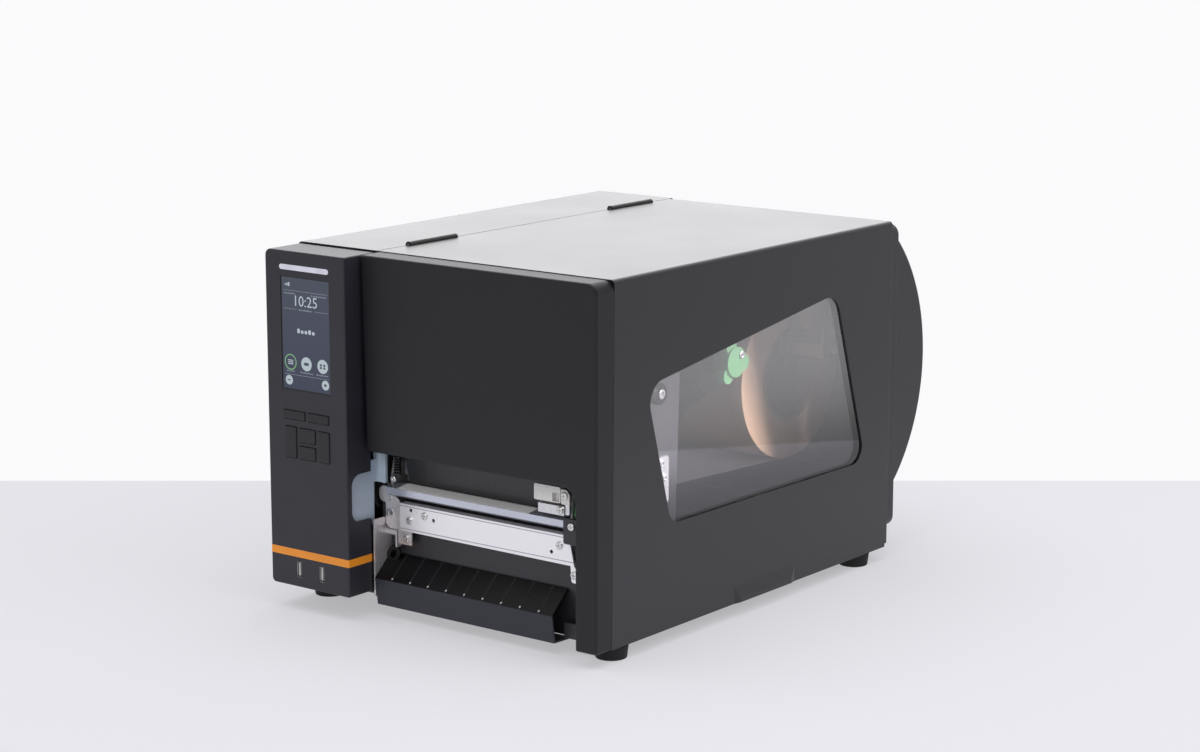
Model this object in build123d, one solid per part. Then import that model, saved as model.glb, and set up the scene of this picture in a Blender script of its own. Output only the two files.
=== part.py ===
from build123d import *
import math
import os

# Six-inch industrial thermal transfer label printer, closed, with a label roll loaded.
# Millimetres. +Z is up, the front faces -Y, and the origin is on the floor under the middle.

# ---- Case ----
CASE_HALF_WIDTH = 165.0
CASE_TOP = 303.5
CASE_BOTTOM = 11.9
SHEET = 1.5
FOLD_RADIUS = 4.0
HINGE_X = -76.7
HINGE_Z = 303.6
SEAM_GAP = 0.5
SEAM_TOP_Y = -210.8
SEAM_BOTTOM_Y = -214.3
DOOR_REAR_Y = 188.3
LEFT_COVER_REAR_Y = 194.8
FOOT_HEIGHT = 11.0
FOOT_RADIUS = 14.0
FOOT_X = 150.6
FOOT_FRONT_Y = -196.0
FOOT_REAR_Y = 156.5

FOOT_TAPER = 1.4
FOOT_BOSS_RADIUS = 5.0
PAN_X = (-160.0, 156.5)
PAN_Y = (-210.0, 186.0)
PAN_Z = 14.0
PAN_SIDE_FLANGE = 20.0
PAN_REAR_FLANGE = 26.0
WALL_REAR_Y = 184.0
WALL_TOP = 300.0

# ---- Hinges on the top seam ----
BARREL_RADIUS = 3.0
HINGE_PIN_RADIUS = 1.5
HINGE_SPANS = [(-173.4, -114.1), (98.7, 159.8)]
LEAF_TOP = 301.8
LEAF_THICKNESS = 1.4
LEAF_WIDTH = 20.0

# ---- Control panel column ----
PANEL_FRONT_Y = -251.0
PANEL_RIGHT_X = -77.4
PANEL_TOP = 302.4
PANEL_BOTTOM = 20.3
PANEL_WALL = 3.0
PANEL_BACK_Y = -214.9
PANEL_INNER_BACK_Y = -222.6
PANEL_CORNER_RADIUS = 5.5
SCREEN = (-148.0, -93.3, 187.4, 282.0)
LIGHT_BAR = (-148.5, -94.3, 286.9, 291.3)
STRIPE_LOW = 45.9
STRIPE_HIGH = 52.4
STRIPE_DEPTH = 1.0
NOTCH = (-245.8, -222.0, 82.0, 122.2)
USB_CENTRES = [-133.5, -108.0]
USB_LOW = 28.9
USB_TALL = 13.1
USB_WIDE = 5.7
KEYS = {
    "soft_key_left": (-146.9, -123.1, 162.9, 170.0),
    "soft_key_right": (-119.6, -96.9, 162.9, 170.0),
    "key_left": (-145.0, -133.1, 130.5, 156.5),
    "key_up": (-129.7, -111.9, 144.4, 156.3),
    "key_down": (-129.7, -111.9, 130.5, 141.2),
    "key_right": (-108.3, -96.3, 130.6, 156.2),
}
KEY_CLEARANCE = 0.4
KEY_PROUD = 0.9
KEY_TRAVEL = 1.0

# ---- Front bezel, which swings with the door ----
BEZEL_FRONT_Y = -233.7
BEZEL_LEFT_X = -75.3
BEZEL_TOP = 302.9
BEZEL_WALL = 2.5
MOUTH_TOP = 141.6
MOUTH_RIGHT_X = 143.8
MOUTH_CORNER_RADIUS = 13.0
BEZEL_TOP_RADIUS = 9.0

# ---- Door window: (y, z) corners, front top first, going round over the top ----
WINDOW_CORNERS = [(-169.8, 213.9), (100.7, 251.8), (150.4, 96.6), (-136.6, 98.0)]
WINDOW_RADII = [18.0, 20.0, 15.0, 15.0]
PANE_THICKNESS = 3.0
PULL_Y = (-55.1, -40.6, 34.7, 47.0)
PULL_TOP = 38.0
PULL_PROUD = 3.0
PANE_OVERLAP = 8.0

# ---- Rear ----
INLET = (-150.0, -120.0, 44.0, 68.0)
ROCKER = (-148.0, -122.0, 80.0, 96.0)
ETHERNET = (-146.0, -129.0, 110.0, 124.0)
USB_DEVICE = (-122.0, -109.0, 110.0, 122.0)
SERIAL = (-146.0, -114.0, 136.0, 149.0)
REAR_CUTOUTS = [INLET, ROCKER, ETHERNET, USB_DEVICE, SERIAL]
VENT_COUNT = 10
VENT_LOW = 175.0
VENT_PITCH = 8.0
VENT_SLOT = 3.0
VENT_SPAN = (-150.0, -96.0)
SOCKET_FIT = 0.2
REAR_FRAME_FRONT_Y = 190.0
REAR_FRAME_BACK_Y = 204.8
REAR_FRAME_HALF_WIDTH = 161.0
REAR_FRAME_BOTTOM = 26.4
REAR_FRAME_TOP = 299.0
REAR_WALL = 2.5
BULGE_Y = 100.3
BULGE_Z = 176.3
BULGE_RADIUS = 151.6
BULGE_LEFT_X = -70.0

# ---- Print mechanism ----
WALL_X = -80.0
WALL_THICKNESS = 2.0
INNER_PLATE_X = -70.0
OUTER_PLATE_X = 118.0
PLATE_THICKNESS = 2.0
MECHANISM_FRONT_Y = -206.0
PLATEN_Y = -190.0
PLATEN_Z = 100.0
PLATEN_RADIUS = 9.0
PLATEN_SHAFT_RADIUS = 4.0
PLATEN_LEFT_X = -62.0
PLATEN_RIGHT_X = 110.0
RUNNING = 0.05
BELT_X = -93.0
BELT_WIDTH = 8.0
PLATEN_PULLEY_RADIUS = 16.0
MOTOR_PULLEY_RADIUS = 8.0
MOTOR_Y = -130.0
MOTOR_Z = 62.0
HEAD_PIVOT_Y = -130.0
HEAD_PIVOT_Z = 142.0
HEAD_SHAFT_RADIUS = 4.0
LEVER_PIVOT_Y = -165.0
LEVER_PIVOT_Z = 128.0
REWIND_Y = -150.0
REWIND_Z = 238.0
SUPPLY_Y = 16.0
SUPPLY_Z = 200.0
SPINDLE_RADIUS = 11.0
SUPPLY_ROLL_RADIUS = 28.0
FILM = 0.3
KNOB_Y = -101.0
KNOB_Z = 192.5
KNOB_RADIUS = 9.0
KNOB_LENGTH = 8.0
KNOB_SHAFT_RADIUS = 3.0
LEVER_PIN_RADIUS = 4.0
SPINDLE_SHAFT_RADIUS = 4.0
SPINDLE_X = (-58.0, 104.0)
FIN_THICKNESS = 3.0
FIN_HEIGHT = 1.5

# ---- Metalwork round the mouth ----
CHEEK_PLATE_X = (-75.8, -74.3)
CHEEK_PLATE_FRONT_Y = -222.6
CHEEK_PLATE_STEP_Z = 81.5
FRONT_PLATE_Y = -209.0
FRONT_PLATE_LEFT_X = -58.2
FRONT_PLATE_TOP = 95.5
FRONT_PLATE_BOTTOM = 72.5
PLATE_HOLES = [(-46.5, 91.0), (-22.0, 86.0), (101.0, 80.0)]
PLATE_HOLE_RADIUS = 1.6
TEAR_BAR_LEFT_X = -68.0
TEAR_BAR_RIGHT_X = 117.4
APRON_Y = -202.0
STANDOFF_Y = -205.5
STANDOFF_Z = 69.0
STANDOFF_RADIUS = 3.0
FLANGE_Y = -216.5
FLANGE_X = (119.0, 133.0)
FLANGE_Z = (91.0, 111.5)
KEEPER_Y = -213.0
SCREW_HEAD_RADIUS = 3.2
SCREWS = [
    (-47.5, FRONT_PLATE_Y, 82.2),
    (-31.0, FRONT_PLATE_Y, 88.5),
    (109.5, FRONT_PLATE_Y, 86.5),
    (-51.0, FRONT_PLATE_Y, 66.5),
    (124.2, FRONT_PLATE_Y, 64.5),
    (127.4, FLANGE_Y, 105.8),
    (113.6, KEEPER_Y, 116.4),
    (117.2, KEEPER_Y + 1.0, 128.2),
]

# ---- Media ----
ROLL_Y = 154.5
ROLL_Z = 162.6
ROLL_RADIUS = 75.0
CORE_RADIUS = 38.1
CORE_WALL = 4.0
ROLL_LEFT_X = -66.0
ROLL_RIGHT_X = 82.5
HANGER_TOP = 198.4
HANGER_WIDTH = 24.0
HANGER_DEPTH = 14.0
HANGER_END_X = 125.0
GUIDE_SHAFT_Y = -100.0
GUIDE_SHAFT_Z = 112.0
GUIDE_SHAFT_RADIUS = 4.0

# ---- Electronics ----
SUPPLY_CASE = (-150.0, -96.0, -60.0, 150.0, 17.0, 96.0)
SUPPLY_CASE_WALL = 1.2
FAN_RADIUS = 25.0

# ---- Exit tray ----
TRAY_LEFT_X = -73.8
TRAY_RIGHT_X = 113.0
TRAY_SHEET = 1.5
TRAY_BAY_REAR_Y = -196.0
TRAY_POINTS = [(-203.4, 50.6), (-223.6, 32.6), (-220.6, 9.6), (-200.0, 9.0)]
SCORE_COUNT = 9
SCORE_FIRST_X = -56.0
SCORE_LAST_X = 98.5
SCORE_DEPTH = 0.4
SCORE_WIDTH = 0.7


def block(x0, x1, y0, y1, z0, z1):
    """A box between two corners."""
    centre = ((x0 + x1) / 2, (y0 + y1) / 2, (z0 + z1) / 2)
    return Pos(*centre) * Box(abs(x1 - x0), abs(y1 - y0), abs(z1 - z0))


def rod_x(y, z, radius, x0, x1):
    """A round bar along X."""
    return Pos((x0 + x1) / 2, y, z) * Rot(0, 90, 0) * Cylinder(radius, x1 - x0)


def rod_y(x, z, radius, y0, y1):
    """A round bar along Y."""
    return Pos(x, (y0 + y1) / 2, z) * Rot(90, 0, 0) * Cylinder(radius, y1 - y0)


def outline(corners, radii):
    """A closed polygon whose corners are rounded, a radius of 0 leaving one sharp."""
    shape = Polygon(*corners, align=None)
    for corner, radius in zip(corners, radii):
        if radius > 0:
            vertex = shape.vertices().sort_by_distance(Vector(corner[0], corner[1], 0))[0]
            shape = fillet(vertex, radius)
    return shape


def along_x(shape, x0, x1):
    """Extrudes a (y, z) outline from x0 to x1."""
    plane = Plane(origin=(x0, 0, 0), x_dir=(0, 1, 0), z_dir=(1, 0, 0))
    return extrude(plane * shape, amount=x1 - x0, dir=(1, 0, 0))


def along_y(shape, y0, y1):
    """Extrudes an (x, z) outline from y0 to y1."""
    plane = Plane(origin=(0, y1, 0), x_dir=(1, 0, 0), z_dir=(0, -1, 0))
    return extrude(plane * shape, amount=y1 - y0, dir=(0, -1, 0))


def strip(points, thickness):
    """A folded sheet's (y, z) section: the points are its outer face, offset inwards."""
    return make_face(offset(Polyline(*points), amount=thickness, side=Side.LEFT, closed=True))


def ahead_of_seam(gap):
    """Everything in front of the slanting line where the bezel meets the folded covers."""
    corners = [
        (-400, -10),
        (SEAM_BOTTOM_Y - gap, -10),
        (SEAM_TOP_Y - gap, 320),
        (-400, 320),
    ]
    return along_x(Polygon(*corners, align=None), -200, 200)


def fan_points(centre_y, centre_z, radius, count):
    """Points evenly round a circle in the (y, z) plane."""
    step = 2 * math.pi / count
    return [(centre_y + radius * math.cos(i * step), centre_z + radius * math.sin(i * step))
            for i in range(count)]


# ------------------------------------------------------------------ frame and covers

def make_base_pan():
    """Folded steel floor with side flanges and a bay cut out for the exit tray."""
    x0, x1 = PAN_X
    y0, y1 = PAN_Y
    plate = block(x0, x1, y0, y1, PAN_Z, PAN_Z + SHEET)
    flanges = block(x0, x0 + SHEET, y0, y1, PAN_Z, PAN_Z + PAN_SIDE_FLANGE)
    flanges += block(x0, 150, y1 - SHEET, y1, PAN_Z, PAN_Z + PAN_REAR_FLANGE)
    flanges += block(TRAY_RIGHT_X + 1.5, 141.5, y0, y0 + SHEET, 12.4, 25)
    bay = block(TRAY_LEFT_X - 2, TRAY_RIGHT_X + 1.5, y0 - 2, TRAY_BAY_REAR_Y, 0, 60)
    bosses = Part()
    for x in (-FOOT_X, FOOT_X):
        for y in (FOOT_FRONT_Y, FOOT_REAR_Y):
            bosses += Pos(x, y, (FOOT_HEIGHT + PAN_Z) / 2) * Cylinder(FOOT_BOSS_RADIUS, PAN_Z - FOOT_HEIGHT)
    return plate + flanges + bosses - bay


def make_feet():
    """Four tapered rubber feet."""
    feet = []
    for x in (-FOOT_X, FOOT_X):
        for y in (FOOT_FRONT_Y, FOOT_REAR_Y):
            foot = Cone(FOOT_RADIUS - FOOT_TAPER, FOOT_RADIUS, FOOT_HEIGHT)
            foot = Pos(x, y, FOOT_HEIGHT / 2) * foot
            feet.append(fillet(foot.edges().sort_by(Axis.Z)[0], 1.0))
    return Compound(children=feet)


def make_centre_wall():
    """Aluminium wall between the electronics and the media, with holes for every shaft."""
    wall = block(WALL_X, WALL_X + WALL_THICKNESS, MECHANISM_FRONT_Y, WALL_REAR_Y, PAN_Z + SHEET, WALL_TOP)
    holes = [(PLATEN_Y, PLATEN_Z, 8), (REWIND_Y, REWIND_Z, 6), (SUPPLY_Y, SUPPLY_Z, 6)]
    for y, z, radius in holes:
        wall -= rod_x(y, z, radius, WALL_X - 1, WALL_X + WALL_THICKNESS + 1)
    return wall


def folded_cover(x_free, x_side, rear_y):
    """A sheet folded over one long edge: a top from x_free and a side at x_side."""
    inward = -1 if x_side > 0 else 1
    corners = [
        (x_free, CASE_TOP),
        (x_side, CASE_TOP),
        (x_side, CASE_BOTTOM),
        (x_side + inward * SHEET, CASE_BOTTOM),
        (x_side + inward * SHEET, CASE_TOP - SHEET),
        (x_free, CASE_TOP - SHEET),
    ]
    radii = [0, FOLD_RADIUS, 0, 0, FOLD_RADIUS - SHEET, 0]
    return along_y(outline(corners, radii), -220, rear_y)


def hinge_notches(x0, x1):
    """Room in a cover's edge for the hinge barrels."""
    notches = Part()
    for y0, y1 in HINGE_SPANS:
        notches += block(x0, x1, y0 - 0.5, y1 + 0.5, CASE_TOP - SHEET - 1, CASE_TOP + 1)
    return notches


def make_left_cover():
    """Cover over the electronics: left side and top in one folded sheet."""
    cover = folded_cover(HINGE_X - SEAM_GAP, -CASE_HALF_WIDTH, LEFT_COVER_REAR_Y)
    cover -= hinge_notches(HINGE_X - 3.7, HINGE_X)
    return cover - ahead_of_seam(0)


def make_rear_frame():
    """Shallow rear moulding with the opening into the bulge and the openings for the sockets."""
    width = 2 * REAR_FRAME_HALF_WIDTH
    height = REAR_FRAME_TOP - REAR_FRAME_BOTTOM
    centre_z = (REAR_FRAME_TOP + REAR_FRAME_BOTTOM) / 2
    outer = Pos(0, centre_z) * RectangleRounded(width, height, 10)
    inner = Pos(0, centre_z) * RectangleRounded(width - 2 * REAR_WALL, height - 2 * REAR_WALL, 7.5)
    frame = along_y(outer, REAR_FRAME_FRONT_Y, REAR_FRAME_BACK_Y)
    frame -= along_y(inner, REAR_FRAME_FRONT_Y - 1, REAR_FRAME_BACK_Y - REAR_WALL)
    frame -= block(BULGE_LEFT_X + 3, 157, 195, 210, 74, 279)
    for x0, x1, z0, z1 in REAR_CUTOUTS:
        frame -= block(x0 - SOCKET_FIT, x1 + SOCKET_FIT, 195, 210, z0 - SOCKET_FIT, z1 + SOCKET_FIT)
    for i in range(VENT_COUNT):
        z = VENT_LOW + i * VENT_PITCH
        frame -= block(*VENT_SPAN, 195, 210, z, z + VENT_SLOT)
    return frame


def make_rear_bulge():
    """Curved cover that makes room for a full roll: part of a drum, closed at both ends."""
    drum = rod_x(BULGE_Y, BULGE_Z, BULGE_RADIUS, BULGE_LEFT_X, REAR_FRAME_HALF_WIDTH)
    hollow = rod_x(BULGE_Y, BULGE_Z, BULGE_RADIUS - REAR_WALL,
                   BULGE_LEFT_X + REAR_WALL, REAR_FRAME_HALF_WIDTH - REAR_WALL)
    rim = drum.edges().filter_by(GeomType.CIRCLE)
    drum = fillet(rim, 2.0)
    return (drum - hollow) - block(-300, 300, -300, REAR_FRAME_BACK_Y, -50, 400)


# ------------------------------------------------------------------ control panel

def make_panel_housing():
    """Hollow plastic column that carries the display, the keys and the ports."""
    left = -CASE_HALF_WIDTH
    corners = [(left, PANEL_TOP), (PANEL_RIGHT_X, PANEL_TOP),
               (PANEL_RIGHT_X, PANEL_BOTTOM), (left, PANEL_BOTTOM)]
    outer = along_y(outline(corners, [PANEL_CORNER_RADIUS, 1.5, 1.5, 4]), PANEL_FRONT_Y, PANEL_BACK_Y)
    front = outer.faces().sort_by(Axis.Y)[0]
    outer = fillet(front.edges(), 1.4)
    wall = PANEL_WALL
    hollow = block(left + wall, PANEL_RIGHT_X - wall, PANEL_FRONT_Y + wall, PANEL_BACK_Y + 1,
                   PANEL_BOTTOM + wall, PANEL_TOP - wall)
    housing = outer - fillet(hollow.edges().filter_by(Axis.Y), 2.0)
    housing -= block(PANEL_RIGHT_X - wall - 1, PANEL_RIGHT_X + 1, PANEL_INNER_BACK_Y, PANEL_BACK_Y + 1,
                     PANEL_BOTTOM - 1, MOUTH_TOP)
    y0, y1, z0, z1 = NOTCH
    notch = outline([(y0, z1), (y1 + 12, z1), (y1 + 12, z0), (y0, z0)], [10, 0, 0, 10])
    housing -= along_x(notch, PANEL_RIGHT_X - wall - 1, PANEL_RIGHT_X + 1)
    housing -= block(SCREEN[0], SCREEN[1], PANEL_FRONT_Y - 1, PANEL_FRONT_Y + wall + 1,
                     SCREEN[2], SCREEN[3])
    housing -= light_bar_shape(0)
    housing -= stripe_shape()
    for x0, x1, z0, z1 in KEYS.values():
        gap = KEY_CLEARANCE
        housing -= block(x0 - gap, x1 + gap, PANEL_FRONT_Y - 1, PANEL_FRONT_Y + wall + 1,
                         z0 - gap, z1 + gap)
    for x in USB_CENTRES:
        housing -= block(x - USB_WIDE / 2, x + USB_WIDE / 2, PANEL_FRONT_Y - 1, PANEL_FRONT_Y + wall + 1,
                         USB_LOW - 0.3, USB_LOW + USB_TALL - 0.3)
    return housing


def stripe_shape():
    """Band let into the front and the inner side of the column."""
    band = block(-CASE_HALF_WIDTH, PANEL_RIGHT_X, PANEL_FRONT_Y, PANEL_INNER_BACK_Y,
                 STRIPE_LOW, STRIPE_HIGH)
    core = block(-CASE_HALF_WIDTH - 1, PANEL_RIGHT_X - STRIPE_DEPTH,
                 PANEL_FRONT_Y + STRIPE_DEPTH, 0, STRIPE_LOW - 1, STRIPE_HIGH + 1)
    band = band - core
    edges = band.edges().filter_by(Axis.Z)
    outer_edges = [e for e in edges if abs(e.center().Y - PANEL_FRONT_Y) < 0.01]
    return fillet(outer_edges, 1.0 - 0.05)


def light_bar_shape(proud):
    """Round-ended bar through the front wall."""
    x0, x1, z0, z1 = LIGHT_BAR
    shape = Pos((x0 + x1) / 2, (z0 + z1) / 2) * SlotOverall(x1 - x0, z1 - z0)
    return along_y(shape, PANEL_FRONT_Y - proud, PANEL_FRONT_Y + PANEL_WALL)


def make_status_light():
    """Clear light pipe for the status lamp."""
    return light_bar_shape(0.3)


def make_display_glass():
    """Touch display: glass in its opening, on a wider module behind the front wall."""
    x0, x1, z0, z1 = SCREEN
    glass = block(x0, x1, PANEL_FRONT_Y + 0.4, PANEL_FRONT_Y + PANEL_WALL, z0, z1)
    module = block(x0 - 3, x1 + 3, PANEL_FRONT_Y + PANEL_WALL, PANEL_FRONT_Y + 9, z0 - 3, z1 + 3)
    return glass + module


def make_key(bounds):
    """Key cap with a flange behind the wall and a stem down to the switch board."""
    x0, x1, z0, z1 = bounds
    back = PANEL_FRONT_Y + PANEL_WALL + 0.15
    cap = block(x0, x1, PANEL_FRONT_Y - KEY_PROUD, back, z0, z1)
    cap = fillet(cap.edges().filter_by(Axis.Y), 1.2)
    cap = fillet(cap.faces().sort_by(Axis.Y)[0].edges(), 0.6)
    flange = block(x0 - 1, x1 + 1, back, back + 1.0, z0 - 1, z1 + 1)
    centre_x = (x0 + x1) / 2
    centre_z = (z0 + z1) / 2
    stem = block(centre_x - 2, centre_x + 2, back + 1.0, back + 2.0, centre_z - 2, centre_z + 2)
    return cap + flange + stem


def make_keypad_board():
    """Switch board behind the keys."""
    face = PANEL_FRONT_Y + PANEL_WALL + 2.15 + KEY_TRAVEL + 0.4
    return block(-152, -92, face, face + 1.6, 124, 174)


def make_usb_ports():
    """Two upright USB sockets, each a folded shell with its tongue."""
    ports = []
    for x in USB_CENTRES:
        low = USB_LOW - 0.3
        shell = block(x - USB_WIDE / 2, x + USB_WIDE / 2, PANEL_FRONT_Y + 0.4, PANEL_FRONT_Y + 15,
                      low, low + USB_TALL)
        cavity = block(x - USB_WIDE / 2 + 0.4, x + USB_WIDE / 2 - 0.4, PANEL_FRONT_Y - 1, PANEL_FRONT_Y + 12,
                       low + 0.4, low + USB_TALL - 0.4)
        tongue = block(x - USB_WIDE / 2 + 0.9, x - USB_WIDE / 2 + 2.7, PANEL_FRONT_Y + 1.6,
                       PANEL_FRONT_Y + 13, low + 1.2, low + USB_TALL - 1.2)
        ports.append(shell - cavity + tongue)
    return Compound(children=ports)


# ------------------------------------------------------------------ door

def make_front_bezel():
    """Hollow plastic front of the door, with the label mouth cut from its lower left."""
    right = CASE_HALF_WIDTH
    corners = [
        (BEZEL_LEFT_X, BEZEL_TOP),
        (right, BEZEL_TOP),
        (right, CASE_BOTTOM),
        (MOUTH_RIGHT_X, CASE_BOTTOM),
        (MOUTH_RIGHT_X, MOUTH_TOP),
        (BEZEL_LEFT_X + 3.5, MOUTH_TOP),
    ]
    face = outline(corners, [2.0, BEZEL_TOP_RADIUS, 2.5, 1.5, MOUTH_CORNER_RADIUS, 1.5])
    outer = along_y(face, BEZEL_FRONT_Y, -205)
    front = outer.faces().sort_by(Axis.Y)[0]
    outer = fillet(front.edges(), 2.0)
    inner = along_y(offset(face, amount=-BEZEL_WALL), BEZEL_FRONT_Y + BEZEL_WALL, -200)
    return (outer - inner) & ahead_of_seam(SEAM_GAP)


def window_outline(grow):
    """The window's rounded outline, grown all round by grow."""
    shape = outline(WINDOW_CORNERS, WINDOW_RADII)
    return offset(shape, amount=grow) if grow else shape


def make_door_cover():
    """Door skin: top and right side in one folded sheet, with window and finger pull."""
    cover = folded_cover(HINGE_X + SEAM_GAP, CASE_HALF_WIDTH, DOOR_REAR_Y)
    inner_x = CASE_HALF_WIDTH - SHEET
    cover += block(158, inner_x, -208, DOOR_REAR_Y - 3, CASE_BOTTOM, CASE_BOTTOM + SHEET)
    cover += block(155, inner_x, DOOR_REAR_Y - SHEET, DOOR_REAR_Y, 16, 296)
    cover -= hinge_notches(HINGE_X, HINGE_X + 3.7)
    cover -= along_x(window_outline(0), 150, 170)
    cover -= block(150, 170, 185.2, 195, 0, 14.8)
    cover += pull_prism(0)
    cover -= pull_prism(SHEET)
    return cover - ahead_of_seam(0)


def pull_prism(lift):
    """Solid whose outer face is pressed out by lift over the flat, with ramps and a fading top."""
    flat = CASE_HALF_WIDTH - SHEET - lift
    y0, y1, y2, y3 = PULL_Y
    base = Plane(origin=(flat, 0, 0), x_dir=(0, 1, 0), z_dir=(1, 0, 0))
    crest = Plane(origin=(flat + PULL_PROUD, 0, 0), x_dir=(0, 1, 0), z_dir=(1, 0, 0))
    low = CASE_BOTTOM - 1 if lift else CASE_BOTTOM
    wide = base * Polygon((y0, low), (y3, low), (y3, PULL_TOP), (y0, PULL_TOP), align=None)
    narrow = crest * Polygon((y1, low), (y2, low), (y2, low + 4), (y1, low + 4), align=None)
    return loft([wide, narrow])


def make_window_pane():
    """Smoked clear pane behind the window hole."""
    inner_x = CASE_HALF_WIDTH - SHEET
    return along_x(window_outline(PANE_OVERLAP), inner_x - PANE_THICKNESS, inner_x)


def hinge_leaves(fixed):
    """One leaf per hinge: two outer knuckles on the fixed leaf, the middle one on the door."""
    side = -1 if fixed else 1
    leaves = []
    for y0, y1 in HINGE_SPANS:
        third = (y1 - y0) / 3
        knuckles = [(y0, y0 + third), (y1 - third, y1)] if fixed else [(y0 + third, y1 - third)]
        edge = HINGE_X + side * 3.4
        leaf = block(edge, HINGE_X + side * LEAF_WIDTH, y0, y1, LEAF_TOP - LEAF_THICKNESS, LEAF_TOP)
        for k0, k1 in knuckles:
            k0 += 0 if fixed and k0 == y0 else 0.2
            k1 -= 0 if fixed and k1 == y1 else 0.2
            leaf += block(HINGE_X - side * 1.2, edge, k0, k1, LEAF_TOP - LEAF_THICKNESS, LEAF_TOP)
            leaf += rod_y(HINGE_X, HINGE_Z, BARREL_RADIUS, k0, k1)
        leaf -= rod_y(HINGE_X, HINGE_Z, HINGE_PIN_RADIUS + RUNNING, y0 - 1, y1 + 1)
        leaves.append(leaf)
    return Compound(children=leaves)


def make_hinge_pins():
    """Steel pins of the two hinges."""
    return Compound(children=[rod_y(HINGE_X, HINGE_Z, HINGE_PIN_RADIUS, y0, y1) for y0, y1 in HINGE_SPANS])


# ------------------------------------------------------------------ print mechanism

def make_inner_cheek():
    """Grey moulding beside the mouth, seen through the column's notch."""
    behind_notch = block(-84, -81, -247, -215, 76, 130)
    ledge = block(-84, -70.5, -212.6, -209.8, 111.2, 150)
    behind_notch += block(-84, -81, -216, -209.8, 111.2, 130)
    return behind_notch + ledge


def make_cheek_plate():
    """Polished steel plate that closes the mouth on its left."""
    front = CHEEK_PLATE_FRONT_Y
    step = CHEEK_PLATE_STEP_Z
    corners = [(front, 16), (front, step), (-206.5, step), (-204, 110), (-150, 110), (-150, 16)]
    plate = along_x(outline(corners, [2, 2, 0, 3, 3, 0]), *CHEEK_PLATE_X)
    return plate - rod_x(PLATEN_Y, PLATEN_Z, PLATEN_SHAFT_RADIUS + 2, -77, -73)


def make_standoff():
    """Round post from the cheek plate to a small upright tab."""
    x = CHEEK_PLATE_X[1]
    post = rod_x(STANDOFF_Y, STANDOFF_Z, STANDOFF_RADIUS, x, x + 12)
    return post + block(x + 11, x + 12.5, FRONT_PLATE_Y - 0.4, STANDOFF_Y + 2, 57.5, 72.0)


def make_inner_plate():
    """Inboard side plate of the mechanism."""
    front = MECHANISM_FRONT_Y
    corners = [(front, 76), (front, 118), (-170, 262), (40, 226), (40, 180), (-60, 100), (-80, 76)]
    face = outline(corners, [4, 4, 12, 12, 8, 20, 4])
    plate = along_x(face, INNER_PLATE_X, INNER_PLATE_X + PLATE_THICKNESS)
    return plate - shaft_holes(INNER_PLATE_X)


def make_outer_plate():
    """Outboard side plate."""
    front = MECHANISM_FRONT_Y
    corners = [(front, 76), (front, 118), (-196, 190), (-176, 206), (-64, 206), (-69, 76)]
    plate = along_x(outline(corners, [4, 4, 12, 12, 6, 4]), OUTER_PLATE_X, OUTER_PLATE_X + PLATE_THICKNESS)
    return plate - shaft_holes(OUTER_PLATE_X)


def make_mouth_flange():
    """Black angle that stands ahead of the outboard plate, beside the end of the tear bar."""
    x0, x1 = FLANGE_X
    z0, z1 = FLANGE_Z
    face = outline([(x0, z1), (x1, z1), (x1, z0), (x0, z0)], [4, 1, 1, 2])
    flange = along_y(face, FLANGE_Y, FLANGE_Y + SHEET)
    return flange + block(x0, x0 + SHEET, FLANGE_Y + 1, MECHANISM_FRONT_Y, z0 + 3, z1 - 4)


def shaft_holes(x):
    """Clearance holes for the shafts that pass a side plate."""
    holes = Part()
    places = [
        (PLATEN_Y, PLATEN_Z, PLATEN_SHAFT_RADIUS + RUNNING),
        (HEAD_PIVOT_Y, HEAD_PIVOT_Z, HEAD_SHAFT_RADIUS + RUNNING),
        (LEVER_PIVOT_Y, LEVER_PIVOT_Z, LEVER_PIN_RADIUS + RUNNING),
        (REWIND_Y, REWIND_Z, SPINDLE_SHAFT_RADIUS + RUNNING),
        (SUPPLY_Y, SUPPLY_Z, SPINDLE_SHAFT_RADIUS + RUNNING),
        (KNOB_Y, KNOB_Z, KNOB_SHAFT_RADIUS + RUNNING),
    ]
    for y, z, radius in places:
        holes += rod_x(y, z, radius, x - 1, x + PLATE_THICKNESS + 1)
    return holes


def make_front_plate():
    """Bright steel plate under the tear bar, folded back along its top."""
    left = FRONT_PLATE_LEFT_X
    top = FRONT_PLATE_TOP
    low = FRONT_PLATE_BOTTOM
    tab = [(124, 71), (129, 67), (129, 58), (121.2, 58), (120.2, low - 1)]
    corners = [(left, top), (118.5, top), *tab, (left, low)]
    face = along_y(outline(corners, [1, 2, 0, 1, 2, 2, 0, 1]), FRONT_PLATE_Y, FRONT_PLATE_Y + SHEET)
    plate = face + block(left, TEAR_BAR_RIGHT_X, FRONT_PLATE_Y, -200.8, top - SHEET, top)
    for x, z in PLATE_HOLES:
        plate -= rod_y(x, z, PLATE_HOLE_RADIUS, FRONT_PLATE_Y - 1, FRONT_PLATE_Y + SHEET + 1)
    return plate


def make_left_bracket():
    """Steel bracket with a rounded upper ear, between the cheek and the front plate."""
    right = FRONT_PLATE_LEFT_X - 0.4
    corners = [
        (-80.8, 107.5),
        (-70.2, 107.5),
        (-70.2, 100.4),
        (-63, 100.4),
        (right, 96.5),
        (right, 72.6),
        (-73.8, 72.6),
        (-73.8, 94.2),
        (-80.8, 94.2),
    ]
    bracket = along_y(outline(corners, [5, 1, 1, 3, 2, 1, 6, 1.5, 5]), FRONT_PLATE_Y, FRONT_PLATE_Y + SHEET)
    return bracket + block(-74.2, -72.7, -208, -198, 80, 98) + make_screw_tab()


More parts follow.
